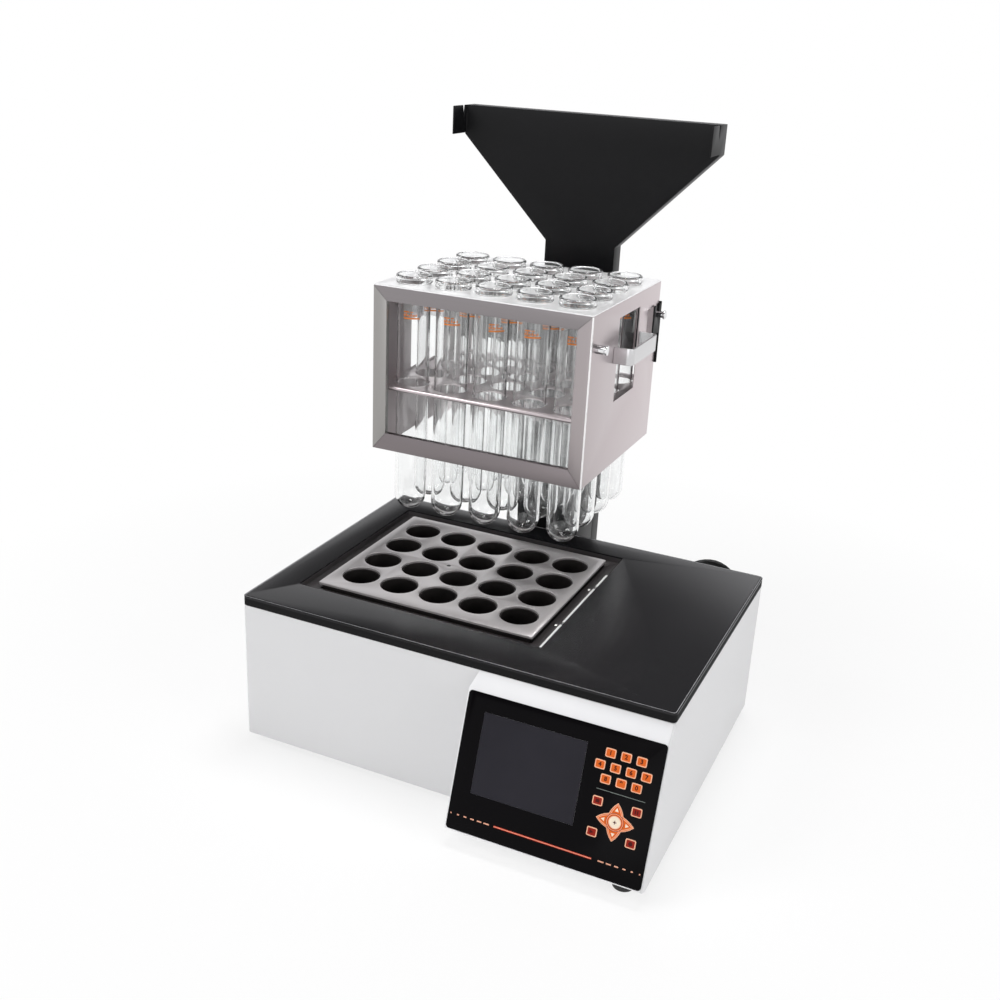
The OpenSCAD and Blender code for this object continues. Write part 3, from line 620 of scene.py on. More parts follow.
def row_tree(name, material):
    """A row of square-ended dashes along X whose length grows by a named step."""
    tree, inputs = open_tree(name, False, Count=6, Spacing=0.006, First_Length=0.001, Growth=0.0006,
                             Width=0.0012, Depth=0.0001)
    add = partial(add_node, tree)
    step = add("ShaderNodeCombineXYZ", X=inputs["Spacing"])
    line = add("GeometryNodeMeshLine", Count=inputs["Count"], Offset=step.outputs[0])
    size = add("ShaderNodeCombineXYZ", X=1.0, Y=inputs["Width"], Z=inputs["Depth"])
    cube = add("GeometryNodeMeshCube", Size=size.outputs[0])
    index = add("GeometryNodeInputIndex").outputs[0]
    grow = add("ShaderNodeMath", {"operation": "MULTIPLY_ADD"})
    for slot, value in zip(grow.inputs, (index, inputs["Growth"], inputs["First Length"])):
        feed(tree, slot, value)
    scale = add("ShaderNodeCombineXYZ", X=grow.outputs[0], Y=1.0, Z=1.0)
    dashes = add("GeometryNodeInstanceOnPoints", Points=line.outputs[0], Instance=cube.outputs[0],
                 Scale=scale.outputs[0])
    return close_tree(tree, dashes.outputs[0], material)


def screw_tree(name, material):
    """A domed screw head on every point of the mesh that carries the modifier."""
    tree, inputs = open_tree(name, True, Head_Radius=0.003, Head_Height=0.0014)
    add = partial(add_node, tree)
    radius, height = inputs["Head Radius"], inputs["Head Height"]
    ball = add("GeometryNodeMeshUVSphere", Segments=20, Rings=10, Radius=1.0)
    size = add("ShaderNodeCombineXYZ", X=radius, Y=radius, Z=height)
    normal = add("GeometryNodeInputNormal").outputs[0]
    along = add("FunctionNodeAlignEulerToVector", {"axis": "Z"}, Vector=normal)
    heads = add("GeometryNodeInstanceOnPoints", Points=inputs["Geometry"], Instance=ball.outputs[0],
                Rotation=along.outputs[0], Scale=size.outputs[0])
    return close_tree(tree, heads.outputs[0], material)


def grown(name, tree, values, mesh=None):
    """Runs a node group over a mesh and returns the result as a plain mesh."""
    holder = linked(name, mesh or bpy.data.meshes.new(name))
    modifier = holder.modifiers.new("grow", "NODES")
    modifier.node_group = tree
    for item in tree.interface.items_tree:
        if item.item_type == "SOCKET" and item.in_out == "INPUT" and item.name in values:
            modifier[item.identifier] = values[item.name]
    return plain_mesh(holder)


def points_mesh(name, points):
    """A tiny loose triangle for each screw; its normal says which way the screw points."""
    corners = []
    for at, normal in points:
        side = normal.orthogonal().normalized() * 1e-6
        other = normal.cross(side)
        corners += [at + side, at + other, at - side - other]
    mesh = bpy.data.meshes.new(name)
    mesh.from_pydata(corners, [], [(k, k + 1, k + 2) for k in range(0, len(corners), 3)])
    return mesh


# -------------------- settings

def length_setting(name, description, default):
    return bpy.props.FloatProperty(name=name, description=description, default=default, unit="LENGTH")


def colour_setting(name, description, default):
    return bpy.props.FloatVectorProperty(name=name, description=description, default=default, subtype="COLOR")


class DigesterSizes(bpy.types.PropertyGroup):
    fold: length_setting("Fold radius", "Rounding of folded sheet edges", 1.2 * MM)
    cut_edge: length_setting("Cut edge", "Rounding of cut sheet edges", 0.35 * MM)
    key_w: length_setting("Key width", "Width of a printed key", 11.1 * MM)
    key_h: length_setting("Key height", "Height of a printed key", 9.7 * MM)
    floor_half: length_setting("Floor reach", "Half the floor's side", 14.0)
    tube_segments: bpy.props.IntProperty(
        name="Tube segments", description="Segments round a glass tube", default=56, min=16, max=96)


class DigesterColours(bpy.types.PropertyGroup):
    casing: colour_setting("Casing", "White powder coat", (0.705, 0.705, 0.71))
    cover: colour_setting("Cover", "Black powder coat of the cover", (0.0062, 0.006, 0.0068))
    stand: colour_setting("Stand", "Black powder coat of the stand", (0.0048, 0.0048, 0.0055))
    steel: colour_setting("Stainless", "Brushed stainless sheet", (0.51, 0.455, 0.465))
    plate: colour_setting("Block plate", "Warm brushed plate", (0.54, 0.515, 0.515))
    key: colour_setting("Keys", "Orange ink of the keys", (0.74, 0.13, 0.012))
    key_deep: colour_setting("Function keys", "Deep red ink of the function keys", (0.3, 0.012, 0.004))
    rim: colour_setting("Key borders", "Pale ink round the keys", (0.94, 0.5, 0.32))
    glass: colour_setting("Glass", "Clear tube glass", (0.992, 0.996, 0.996))


class DigesterOperator(bpy.types.Operator):
    """Base of the operators that make the digester's pieces."""
    bl_idname = "digester.base"
    bl_label = "Digester piece"

    def execute(self, context):
        self.sizes = context.scene.digester_sizes
        self.colours = context.scene.digester_colours
        self.build()
        return {"FINISHED"}


# -------------------- stage and lead

class DIGESTER_OT_camera(DigesterOperator):
    """Sets the camera that matches the photograph."""
    bl_idname = "digester.camera"
    bl_label = "Camera"

    def build(self):
        camera = linked("camera", bpy.data.cameras.new("camera"))
        camera.data.sensor_width = SENSOR
        camera.data.lens = SENSOR * CAMERA_FOCAL
        camera.data.clip_end = 60.0
        yaw = Matrix.Rotation(CAMERA_YAW, 4, "Z")
        pitch = Matrix.Rotation(math.pi / 2 - CAMERA_PITCH, 4, "X")
        roll = Matrix.Rotation(CAMERA_ROLL, 4, "Z")
        camera.matrix_world = Matrix.Translation(CAMERA_AT) @ yaw @ pitch @ roll
        bpy.context.scene.camera = camera


class DIGESTER_OT_lead(DigesterOperator):
    """Mains lead: gland, route, coil, tail and plug."""
    bl_idname = "digester.lead"
    bl_label = "Mains lead"

    def build(self):
        sheath = moulded("cord_sheath", (0.007, 0.007, 0.007), 0.4, 400.0, 0.12, 0.25)
        points = smooth_route(LEAD_ROUTE, 2) + coil_points() + smooth_route(TAIL_ROUTE, 2)
        points = [p * MM + Vector((0, SHIFT_Y, 0)) for p in points]
        lead = new_piece("mains_lead", tube_along(points, CORD_D / 2, 16), sheath, "base", 60)
        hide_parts("mains_cord", "cord_coil", "cord_tail")
        black = moulded("gland_plastic", (0.014, 0.014, 0.015), 0.5)
        gland = softened("cord_gland", 0.4 * MM, black)
        plug = softened("mains_plug", 1.0 * MM, black, segments=3)
        length = sum((b - a).length for a, b in zip(points, points[1:]))


def smooth_route(route, steps):
    """Points on one smooth curve through the route's points."""
    points = [Vector(p) for p in route]
    line = []
    for i in range(len(points) - 1):
        a, b = points[max(i - 1, 0)], points[i]
        c, d = points[i + 1], points[min(i + 2, len(points) - 1)]
        for k in range(steps):
            u = k / steps
            line.append(0.5 * (2 * b + (c - a) * u + (2 * a - 5 * b + 4 * c - d) * u ** 2
                               + (3 * b - a - 3 * c + d) * u ** 3))
    line.append(points[-1])
    return line


def coil_points():
    """The coil's turns, outwards and upwards in three layers, from the lead's end to the tail's start."""
    d = CORD_D / MM
    outer, inner = COIL_MEAN + d / 2, COIL_MEAN - d / 2
    first, second, third = 0.5 * d, 1.5 * d, 2.5 * d
    # Turn, radius and height at which each stretch of the winding starts
    stops = [
        (0, outer, first), (0.7, outer, first), (1.3, inner, first), (1.7, inner, first),
        (2.3, inner, second), (2.7, inner, second), (3.3, outer, second), (3.7, outer, second),
        (4.3, outer, third), (COIL_TURNS, outer, third),
    ]
    line = []
    per_turn = 32
    for k in range(1, int(COIL_TURNS * per_turn)):
        turn = k / per_turn
        at = max(i for i, stop in enumerate(stops) if stop[0] <= turn)
        a, b = stops[at], stops[min(at + 1, len(stops) - 1)]
        u = (turn - a[0]) / max(b[0] - a[0], 1e-6)
        ease = u * u * (3 - 2 * u)
        r, z = a[1] + (b[1] - a[1]) * ease, a[2] + (b[2] - a[2]) * ease
        angle = 2 * math.pi * turn
        line.append(Vector((COIL_AT[0] + r * math.cos(angle), COIL_AT[1] + r * math.sin(angle), z)))
    return line


def tube_along(points, radius, sides):
    """A closed round tube along a line, its rings carried without twist."""
    bm = bmesh.new()
    side = Vector((1, 0, 0))
    rings = []
    for i, at in enumerate(points):
        ahead = (points[min(i + 1, len(points) - 1)] - points[max(i - 1, 0)]).normalized()
        side = (side - ahead * side.dot(ahead)).normalized()
        other = ahead.cross(side)
        ring = []
        for k in range(sides):
            a = 2 * math.pi * k / sides
            ring.append(bm.verts.new(at + (side * math.cos(a) + other * math.sin(a)) * radius))
        rings.append(ring)
    skin(bm, rings, capped=True)
    return bm


class DIGESTER_OT_stage(DigesterOperator):
    """Pale floor, backdrop colour and soft studio light."""
    bl_idname = "digester.stage"
    bl_label = "Stage"

    def build(self):
        half, drop = self.sizes.floor_half, -0.0004
        mesh = bpy.data.meshes.new("floor")
        corners = ((-half, -half), (half, -half), (half, half), (-half, half))
        mesh.from_pydata([(x, y, drop) for x, y in corners], [], [(0, 1, 2, 3)])
        mesh.materials.append(floor_look("floor_paper", (0.9, 0.9, 0.9)))
        floor = linked("floor", mesh)
        self.sky()
        self.lamp("key_panel", (-1.5, -1.6, 2.4), 0.25, 1.4, 35)
        self.lamp("side_panel", (2.4, -0.5, 1.3), 0.3, 1.4, 18)
        self.lamp("top_panel", (0.1, 0.3, 2.6), 0.3, 0.9, 33)
        self.lamp("low_front", (0.4, -2.6, 0.7), 0.2, 1.5, 5)
        bpy.context.scene.view_settings.view_transform = "Standard"
        # Enough steps to see through four rows of tubes
        cycles = bpy.context.scene.cycles
        cycles.max_bounces = 36
        cycles.transmission_bounces = 36
        cycles.transparent_max_bounces = 48

    def sky(self):
        """White to the camera and through glass; to the rest a bright low band and a dimmer ceiling."""
        look = Look("studio", world=True)
        bpy.context.scene.world = look.made
        height = look.node("SeparateXYZ", Vector=look.node("TexCoord").outputs["Generated"]).outputs["Z"]
        band = look.node("MapRange", {"interpolation_type": "SMOOTHSTEP"}, Value=height,
                         From_Min=0.24, From_Max=0.44, To_Min=1.08, To_Max=0.15)
        soft = look.node("Background", Color=(0.95, 0.95, 0.97, 1), Strength=band.outputs[0])
        white = look.node("Background", Color=(1, 1, 1, 1), Strength=1.0)
        rays = look.node("LightPath").outputs
        plain = Num(look, rays["Is Camera Ray"]).math("MAXIMUM", rays["Is Transmission Ray"])
        look.veiled(plain, soft, white)

    def lamp(self, name, at, aim_z, size, power):
        """A square panel that faces a height on the object's own axis."""
        light = bpy.data.lights.new(name, "AREA")
        light.shape = "SQUARE"
        light.size = size
        light.energy = power
        holder = linked(name, light)
        holder.location = at
        holder.rotation_euler = (Vector((0, 0, aim_z)) - Vector(at)).to_track_quat("-Z", "Y").to_euler()


# -------------------- base

class DIGESTER_OT_base(DigesterOperator):
    """White casing, black cover, trough, block and its plate, feet and rear fittings."""
    bl_idname = "digester.base_unit"
    bl_label = "Base"

    def build(self):
        softened("base_casing", self.sizes.fold, coated("white_coat", self.colours.casing, 0.42, 0.18, 0.015),
                 segments=3)
        softened("top_cover", 1.4 * MM, self.cover_coat_painted_sheen(), segments=3)
        softened("well_liner", 0.5 * MM, coated("liner_coat", (0.05, 0.045, 0.046), 0.36, 0.3, 0.25, 0.5))
        softened("block_plate", 0.7 * MM,
                 brushed("plate_brushed", self.colours.plate, 0.34, (700, 6, 700), 0.18, 0.09, metal=0.6))
        dress("heating_block", heat_stained("block_stained", (0.012, 0.011, 0.011), (0.06, 0.052, 0.05)))
        dress("heater_plate", heat_stained("heater_stained", (0.2, 0.19, 0.18), (0.32, 0.27, 0.22)))
        dress("block_standoffs", moulded("ceramic_body", (0.8, 0.76, 0.68), 0.6, 300.0, 0.2))
        dress("block_insulation", fibrous("wool_fibre", (0.6, 0.55, 0.42)))
        dress("temperature_probe", polished("probe_sheath", (0.03, 0.028, 0.028), 0.3))
        dress("base_tray", brushed("zinc_sheet", (0.5, 0.51, 0.52), 0.4, (40, 40, 300), 0.1, 0.1))
        dress("power_relay", brushed("sink_metal", (0.45, 0.45, 0.46), 0.4, (6, 300, 300), 0.2))
        dress("control_board", board_look("board_mask", (0.02, 0.12, 0.05)))
        softened("feet", 0.8 * MM, moulded("foot_rubber", (0.016, 0.016, 0.016), 0.7, 600.0, 0.3))
        softened("switch_housing", 0.5 * MM, moulded("switch_plastic", (0.014, 0.014, 0.014), 0.45))
        red = moulded("rocker_plastic", (0.42, 0.02, 0.015), 0.25, 900.0, 0.08)
        softened("power_rocker", 0.6 * MM, red, "rocker")
        self.screws()
        # A painted highlight: a bright strip on the trough's wall
        self.trough_edge_painted_highlight(brushed("wall_highlight_paint", (0.95, 0.94, 0.93), 0.4, (300, 6, 300), 0.08, 0.03, metal=0.3))
        # A painted highlight: a bright hairline along the cover's edge
        self.cover_edge_painted_highlight(polished("rim_highlight_paint", (0.7, 0.7, 0.72), 0.45))

    def cover_coat_painted_sheen(self):
        """Satin black on the top, with painted sheen making it a shade lighter towards both sides, and dull
        with painted shade making it darker on the lip.
        """
        lip_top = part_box("top_cover")[1][2] - 1.6 * MM
        lip_full = lip_top - 1 * MM
        # Painted sheen: lighter towards the right and the left side; painted shade: darker on the lip
        right_painted_sheen = ("X", 0.0, 0.22, (0.016, 0.0155, 0.017))
        left_painted_sheen = ("X", -0.12, -0.24, (0.014, 0.0135, 0.0145))
        lip_painted_shade = ("Z", lip_top, lip_full, (0.003, 0.003, 0.0034))
        return coated("cover_coat_painted_sheen", self.colours.cover, 0.24, 0.12, 0.2, 0.24,
                      (right_painted_sheen, left_painted_sheen, lip_painted_shade), dull=("Z", lip_top, lip_full))

    def cover_edge_painted_highlight(self, highlight_paint):
        """A hairline of painted highlight where the cover's top turns down."""
        low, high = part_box("top_cover")
        x, y, top = (low[0] + high[0]) / 2, (low[1] + high[1]) / 2, high[2]
        outer, inner, under, over = 1.3 * MM, 1.9 * MM, -0.1 * MM, 0.06 * MM
        bm = bmesh.new()
        rings = []
        for inset, lift in ((outer, under), (outer, over), (inner, over), (inner, under)):
            w, d = high[0] - low[0] - 2 * inset, high[1] - low[1] - 2 * inset
            outline = shifted(rounded_box(w, d, 5 * MM - inset, 8), (x, y))
            rings.append([bm.verts.new((*at, top + lift)) for at in outline])
        skin(bm, rings, looped=True)
        new_piece("cover_edge_painted_highlight", bm, highlight_paint)

    def trough_edge_painted_highlight(self, bright):
        """A painted highlight: a bright strip on the trough's wall, beside the cover's opening, where the
        opening's edge catches the light.
        """
        bm = bmesh.new()
        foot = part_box("well_liner")[1][2] - 2.0 * MM
        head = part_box("top_cover")[1][2] + 0.4 * MM
        for start, end in HIGHLIGHT_STRETCHES:
            size = Vector(((HIGHLIGHT_X[1] - HIGHLIGHT_X[0]) * MM, (end - start) * MM, head - foot))
            middle = Vector((sum(HIGHLIGHT_X) / 2 * MM, (start + end) / 2 * MM + SHIFT_Y, (foot + head) / 2))
            for vert in bmesh.ops.create_cube(bm, size=1.0)["verts"]:
                vert.co = middle + vert.co * size
        new_piece("trough_edge_painted_highlight", bm, bright)

    def screws(self):
        """Domed heads at the corners of the ledge, over the CAD screws."""
        bright = polished("screw_bright", (0.75, 0.75, 0.72), 0.18)
        low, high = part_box("ledge_screws")
        inset, radius, height = 3 * MM, 2.9 * MM, 1.6 * MM
        points = [
            (Vector((x, y, high[2] - height)), Vector((0, 0, 1)))
            for x in (low[0] + inset, high[0] - inset)
            for y in (low[1] + inset, high[1] - inset)
        ]
        mesh = grown("ledge_heads", screw_tree("ledge_screw_tree", bright),
                     {"Head Radius": radius, "Head Height": height}, points_mesh("ledge_points", points))
        heads = new_piece("ledge_heads", mesh, None, "base", 40)
        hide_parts("ledge_screws")


# -------------------- console

def leaf(reach, half, angle, steps=9):
    """A pointed leaf about the origin, as slope points; the star is two of them."""
    radius = (reach * reach + half * half) / (2 * half)
    swing = math.degrees(math.asin(reach / radius))
    upper = arc(0, -(radius - half), radius, 90 - swing, 90 + swing, steps)
    lower = arc(0, radius - half, radius, 270 - swing, 270 + swing, steps)
    return turned(upper[:-1] + lower[:-1], angle)


class DIGESTER_OT_console(DigesterOperator):
    """Console hood, glossy overlay, display and the printed membrane keys."""
    bl_idname = "digester.console"
    bl_label = "Console"

    def build(self):
        hood = coated("console_coat", (0.83, 0.83, 0.84), 0.4, 0.15, 0.01)
        softened("console_shell", self.sizes.fold, hood, segments=3)
        softened("keypad_overlay", 0.25 * MM, film("overlay_film", (0.002, 0.0016, 0.0022)))
        dress("display_window", film("display_glass", (0.024, 0.023, 0.029), 0.3))
        self.border, self.ink, self.deep, self.dark, self.pale = (bmesh.new() for layer in range(5))
        self.digits()
        self.functions()
        self.star()
        inks = (
            ("key_borders", self.border, self.colours.rim),
            ("key_faces", self.ink, self.colours.key),
            ("key_deep_faces", self.deep, self.colours.key_deep),
            ("key_marks", self.dark, (0.07, 0.003, 0.002)),
            ("key_lights", self.pale, (0.93, 0.8, 0.64)),
        )
        for name, bm, colour in inks:
            new_piece(name, bm, printed(name + "_ink", colour))
        self.stripe()

    def key(self, at, face):
        """A pale border with the key's own ink over it."""
        w, h = self.sizes.key_w / MM, self.sizes.key_h / MM
        rim = 2.2
        slope_tile(self.border, rounded_box(w, h, 1.6), at, 0, 0.22, 0.12)
        slope_tile(face, rounded_box(w - rim, h - rim, 1.0), at, 0.22, 0.34, 0.06)

    def digits(self):
        for down, places, marks in DIGIT_ROWS:
            for x, mark in zip(places, marks):
                self.key((x, down), self.ink)
                slope_text(self.dark, mark, x, down, 4.6, 0.36)

    def functions(self):
        """Four function keys, each with a plain shape: a square, two bars, a triangle and a disc."""
        marks = (
            [rounded_box(4.2, 3.6, 0.5)],
            [shifted(rounded_box(1.4, 4.2, 0.4), (dx, 0)) for dx in (-1.2, 1.2)],
            [[(-2.2, 2), (-2.2, -2), (2.3, 0)]],
            [arc(0, 0, 2.3, 0, 345, 23)],
        )
        for at, outlines in zip(FUNCTION_KEYS, marks):
            self.key(at, self.deep)
            for outline in outlines:
                slope_tile(self.dark, outline, at, 0.34, 0.39)

    def star(self):
        """Two crossing leaves with bright outlines, an arrow in each tip and a pale disc."""
        for angle in (0, 90):
            slope_tile(self.border, leaf(STAR_REACH, 9.0, angle), STAR_AT, 0, 0.2, 0.1)
            slope_tile(self.ink, leaf(STAR_REACH - 1.1, 8.2, angle), STAR_AT, 0.2, 0.26)
            line = leaf(STAR_REACH - 1.9, 7.4, angle), leaf(STAR_REACH - 2.7, 6.7, angle)
            slope_ring(self.border, *line, STAR_AT, 0.26, 0.31)
        arrow = [(15.3, 0), (11.4, -2.1), (11.4, 2.1)]
        for angle in (0, 90, 180, 270):
            slope_tile(self.pale, turned(arrow, angle), STAR_AT, 0.27, 0.36)
        # Radius, ink, and the heights between which each disc lies
        discs = (
            (9.6, self.deep, 0.31, 0.36), (9.0, self.border, 0.36, 0.4), (8.5, self.ink, 0.4, 0.44),
            (7.4, self.deep, 0.44, 0.48), (6.9, self.border, 0.48, 0.52), (5.9, self.pale, 0.52, 0.58),
        )
        for radius, bm, low, high in discs:
            slope_tile(bm, arc(0, 0, radius, 0, 350, 35), STAR_AT, low, high, 0.03)
        bar = [(-1.9, -0.45), (1.9, -0.45), (1.9, 0.45), (-1.9, 0.45)]
        for angle, high in ((0, 0.62), (90, 0.629)):
            slope_tile(self.dark, turned(bar, angle), STAR_AT, 0.58, high)

    def stripe(self):
        """Dashes that grow from both ends towards one long line, and the line between the key groups."""
        peach = printed("dash_ink", (0.8, 0.4, 0.27))
        tree = row_tree("stripe_dashes", peach)
        dash = {"Count": 6, "Spacing": 8.4 * MM, "First Length": 1.2 * MM, "Growth": 1.05 * MM,
                "Width": 1.4 * MM, "Depth": 0.12 * MM}
        bm = bmesh.new()
        for x, facing in zip(DASHES_FROM, (1, -1)):
            add_mesh(bm, grown("dashes", tree, dash), slope_place(x, STRIPE_DOWN, 0.06, facing))
        new_piece("stripe_dashes", bm, peach)
        lines = (
            ("stripe_bar", STRIPE_ENDS, STRIPE_DOWN, 2.0, 0.1, (0.5, 0.04, 0.02)),
            ("stripe_core", STRIPE_ENDS, STRIPE_DOWN, 0.84, 0.14, (0.82, 0.3, 0.2)),
            ("divider_line", DIVIDER_ENDS, DIVIDER_DOWN, 0.6, 0.08, (0.2, 0.23, 0.21)),
        )
        for name, (left, right), down, width, high, colour in lines:
            over, under = down - width / 2, down + width / 2
            bm = bmesh.new()
            outline = [(left, over), (right, over), (right, under), (left, under)]
            slope_tile(bm, outline, (0, 0), 0, high)
            new_piece(name, bm, printed(name + "_ink", colour))


# -------------------- rack

class DIGESTER_OT_rack(DigesterOperator):
    """Brushed stainless rack with its handles and hanging pins."""
    bl_idname = "digester.rack"
    bl_label = "Rack"

    def build(self):
        steel = self.colours.steel
        low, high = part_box("rack_side_right")
        # One stainless steel in lit and shaded copies, as painted light: the uprights painted lighter towards
        # the rear, the top plate and shelf painted lighter as lit level faces
        upright = brushed("steel_upright_painted_light", steel, 0.33, (500, 500, 5), 0.1, 0.05,
                          ("Y", low[1], high[1], tint(steel, 1.25)))
        level = brushed("steel_level_painted_light", (0.96, 0.955, 0.96), 0.3, (5, 500, 500), 0.1, 0.03, metal=0.5)
        shelf = brushed("steel_shelf_painted_light", tint(steel, 1.1), 0.3, (5, 500, 500), 0.1, 0.05)
        edge = self.sizes.cut_edge
        softened("rack_top_plate", edge, level, "rack")
        softened("rack_shelf", 0.5 * MM, shelf, "rack", 3)
        for node in ("rack_side_left", "rack_side_right", "rack_rear_frame"):
            softened(node, edge, upright, "rack")
        # Painted shade on the front frame: darker copies of the steel, the rails painted lighter towards the
        # top and the posts lighter towards the right
        rails = brushed("steel_rails_painted_shade", (0.22, 0.195, 0.2), 0.33, (5, 500, 500), 0.12, 0.07,
                        ("Z", low[2] + 0.02, high[2] - 0.015, (0.27, 0.25, 0.257)))
        posts = brushed("steel_posts_painted_shade", (0.345, 0.335, 0.325), 0.33, (500, 500, 5), 0.12, 0.07,
                        ("X", -0.15, 0.05, (0.4, 0.36, 0.365)))
        self.front_frame(rails, posts)
        bright = brushed("handle_steel", (0.62, 0.615, 0.625), 0.22, (120, 120, 500), 0.06, 0.04)
        for node in ("rack_handle_left", "rack_handle_right"):
            softened(node, 0.6 * MM, bright, "rack", 3)
        chrome = polished("pin_chrome", (0.8, 0.8, 0.81), 0.1)
        softened("rack_pins", 0.5 * MM, chrome, "rack", 3)
        self.pin_sleeve(chrome)
        # A painted highlight: a bright strip down the rack's front right fold
        self.fold_edge_painted_highlight(brushed("fold_highlight_paint", (0.95, 0.94, 0.94), 0.35, (300, 300, 6), 0.08, 0.03, metal=0.3))

    def pin_sleeve(self, chrome):
        """The turned collar on the front pin, between the side and the pin's head."""
        low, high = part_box("rack_pins")
        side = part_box("rack_side_right")[1][0]
        head_r, head_t = (high[2] - low[2]) / 2, 2.5 * MM
        at = Vector((side, low[1] + head_r, (low[2] + high[2]) / 2))
        length = high[0] - head_t - side - 0.6 * MM
        r, near, far = 5.2 * MM, 0.3 * MM, 0.4 * MM
        outline = [(0, 0), (r - near, 0), (r, near), (r, length - far), (r - far, length), (0, length)]
        bm = bmesh.new()
        spun(bm, outline, 32, at, Matrix.Rotation(math.radians(90), 4, "Y"))
        new_piece("rack_pin_sleeve", bm, chrome, "rack", 35)

    def fold_edge_painted_highlight(self, bright):
        """A painted highlight down the rack's front right corner: a bright rounded strip round the fold."""
        low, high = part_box("rack_front_frame")
        proud, radius, inset = 0.1 * MM, 0.5 * MM, 0.5 * MM
        side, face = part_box("rack_side_right")[1][0], low[1]
        front, back, inner, outer = face - proud, face + 2.2 * MM, side - 1.2 * MM, side + proud
        nose = arc(outer - radius, front + radius, radius, -90, 0, 4)
        behind = [(outer, back), (side - proud, back), (side - proud, face + proud), (inner, face + proud)]
        bm = bmesh.new()
        rings = [
            [bm.verts.new((x, y, z)) for x, y in [(inner, front)] + nose + behind]
            for z in (low[2] + inset, high[2] - inset)
        ]
        skin(bm, rings, capped=True)
        new_piece("rack_fold_painted_highlight", bm, bright, "rack", 60)

    def front_frame(self, level, upright):
        """Four folded bars that meet in mitres, the fold lips running round the opening."""
        low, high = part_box("rack_front_frame")
        post_w, sill_h, head_h, sheet = 17.7 * MM, 21.5 * MM, 17.0 * MM, 1.5 * MM
        outer = (low[0], low[2], high[0], high[2])
        inner = (low[0] + post_w, low[2] + sill_h, high[0] - post_w, high[2] - head_h)
        corners = (((0, 1), (2, 1)), ((2, 1), (2, 3)), ((2, 3), (0, 3)), ((0, 3), (0, 1)))
        gap = 0.12 * MM
        bm_level, bm_upright = bmesh.new(), bmesh.new()
        for n, (a, b) in enumerate(corners):
            bm = bm_upright if n % 2 else bm_level
            oa, ob, ib, ia = (
                Vector((box[i], box[j])) for box, (i, j) in ((outer, a), (outer, b), (inner, b), (inner, a))
            )
            along = (ob - oa).normalized()
            pull = along * gap
            quad = [oa + pull, ob - pull, ib - pull, ia + pull]
            self.bar(bm, quad, low[1], low[1] + sheet)
            across = (ia - oa) - along * (ia - oa).dot(along)
            inward = across.normalized() * sheet
            self.bar(bm, [quad[3] - inward, quad[2] - inward, quad[2], quad[3]], low[1] + sheet, high[1])
        for name, bm, material in (("front_rails", bm_level, level), ("front_posts", bm_upright, upright)):
            mesh = rounded(finished_mesh(bm, name), 0.25 * MM)
            piece = new_piece("rack_" + name, mesh, material, "rack", 35)
            if name == "front_rails":
                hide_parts("rack_front_frame")

    def bar(self, bm, quad, front, back):
        skin(bm, [[bm.verts.new((p.x, y, p.y)) for p in quad] for y in (front, back)], capped=True)


# -------------------- tubes

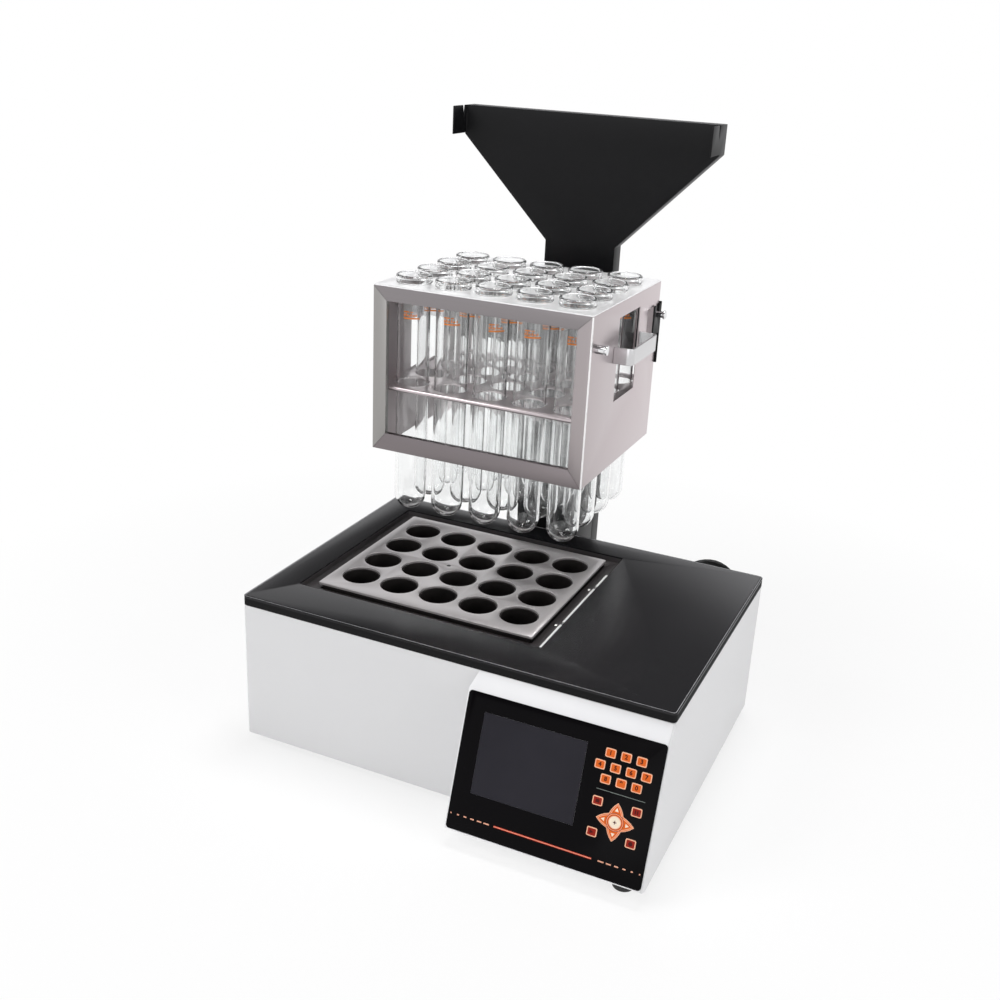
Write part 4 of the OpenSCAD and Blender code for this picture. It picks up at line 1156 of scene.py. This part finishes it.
class DIGESTER_OT_tubes(DigesterOperator):
    """Twenty glass tubes with rolled rims, each with its printed marks."""
    bl_idname = "digester.tubes"
    bl_label = "Tubes"

    def build(self):
        glass = glassy("tube_glass", tuple(self.colours.glass))
        ink = printed("tube_enamel", (0.82, 0.25, 0.05))
        dice = random.Random(11)
        for node in TUBES:
            low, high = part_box(node)
            at = Vector(((low[0] + high[0]) / 2, (low[1] + high[1]) / 2, low[2]))
            length = high[2] - low[2]
            bm = bmesh.new()
            spun(bm, self.outline(length), self.sizes.tube_segments, at)
            tube = new_piece(node + "_glass", bm, glass, node, 60)
            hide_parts(node)
            marks = bmesh.new()
            self.marks(marks, at, length, math.radians(-66 + dice.uniform(-22, 22)))
            new_piece(node + "_marks", marks, ink, node, 60)

    def outline(self, length):
        """Half section of the wall: outside up, over the rolled rim, inside down."""
        r, rim, rim_h = 20 * MM, 22 * MM, 9.4 * MM
        bore, low_bore = 18.2 * MM, 17.8 * MM
        flare, crown = 1.6 * MM, 2.1 * MM
        neck = length - rim_h
        out = [(x, y + r) for x, y in arc(0, 0, r, -90, 0, 12)]
        out[0] = (0, 0)
        out += [(r, neck - 3 * MM), (r, neck)]
        out += arc(rim - flare, neck + flare, flare, -90, 0, 4)
        out += [(rim - 0.5 * MM, length - rim_h / 2), (rim, length - 3.2 * MM)]
        out += arc(rim - crown, length - crown, crown, 0, 90, 5)
        out += arc(bore + flare, length - flare, flare, 90, 180, 4)
        out += [(bore, length - 12 * MM), (bore, 72.5 * MM)]
        inside = [(x, y + r) for x, y in arc(0, 0, low_bore, 0, -90, 12)]
        inside[-1] = (0, r - low_bore)
        return out + inside

    def marks(self, bm, at, length, facing):
        """Generic enamel marks: two broken rows over a heavier rule."""
        foot = length - 51 * MM
        # Lower and upper edge in millimetres, start and end in degrees
        patches = (
            (0, 1.8, -30, 26), (3.2, 6.0, -30, -25), (3.2, 7.2, -22, -18), (3.2, 5.4, -15, -9),
            (3.2, 6.6, -5, -1), (3.2, 5.2, 2, 9), (3.2, 5.8, 13, 17), (8.0, 9.4, -30, -10),
            (8.0, 9.0, -6, 4),
        )
        for low, high, start, end in patches:
            self.patch(bm, at, facing, foot + low * MM, foot + high * MM, start, end)

    def patch(self, bm, at, facing, low, high, start, end):
        """A curved patch of ink on the tube's outside."""
        over, under = 20.1 * MM, 19.98 * MM
        steps = max(1, int(abs(end - start) / 4))
        columns = []
        for k in range(steps + 1):
            a = facing + math.radians(start + (end - start) * k / steps)
            columns.append([
                bm.verts.new(at + Vector((r * math.cos(a), r * math.sin(a), z)))
                for r, z in ((over, low), (over, high), (under, high), (under, low))
            ])
        skin(bm, columns, capped=True)


# -------------------- stand

class DIGESTER_OT_stand(DigesterOperator):
    """Black stand: back plate with its ears, post, crossbeam, spacer box and bolts."""
    bl_idname = "digester.stand"
    bl_label = "Stand"

    def build(self):
        # Duller on the ear at the far right than on the plate
        black = coated("stand_coat", self.colours.stand, 0.4, 0.25, 0.25, 0.16, dull=("X", 0.17, 0.176))
        softened("stand_back_plate", 0.8 * MM, black, segments=3)
        softened("stand_post", 0.8 * MM, black)
        softened("rack_bracket", 0.6 * MM, black)
        softened("stand_foot_box", 0.8 * MM, black)
        softened("stand_bolts", 0.5 * MM, polished("bolt_zinc", (0.5, 0.5, 0.5), 0.3))


# -------------------- panel and run

STEPS = (
    DIGESTER_OT_camera, DIGESTER_OT_lead, DIGESTER_OT_base, DIGESTER_OT_console, DIGESTER_OT_rack,
    DIGESTER_OT_tubes, DIGESTER_OT_stand, DIGESTER_OT_stage,
)


class DIGESTER_PT_panel(bpy.types.Panel):
    """Lists the digester's settings and steps."""
    bl_idname = "DIGESTER_PT_panel"
    bl_label = "Block digester"
    bl_space_type = "VIEW_3D"
    bl_region_type = "UI"
    bl_category = "Digester"

    def draw(self, context):
        for group in (context.scene.digester_sizes, context.scene.digester_colours):
            for key in group.bl_rna.properties.keys():
                if key not in ("rna_type", "name"):
                    self.layout.prop(group, key)
        for step in STEPS:
            self.layout.operator(step.bl_idname)


CLASSES = (DigesterSizes, DigesterColours) + STEPS + (DIGESTER_PT_panel,)


def register():
    for cls in CLASSES:
        bpy.utils.register_class(cls)
    bpy.types.Scene.digester_sizes = bpy.props.PointerProperty(type=DigesterSizes)
    bpy.types.Scene.digester_colours = bpy.props.PointerProperty(type=DigesterColours)


def unregister():
    del bpy.types.Scene.digester_sizes
    del bpy.types.Scene.digester_colours
    for cls in reversed(CLASSES):
        bpy.utils.unregister_class(cls)


def main():
    register()
    for step in STEPS:
        group, name = step.bl_idname.split(".")
        getattr(getattr(bpy.ops, group), name)()


if __name__ == "__main__":
    main()
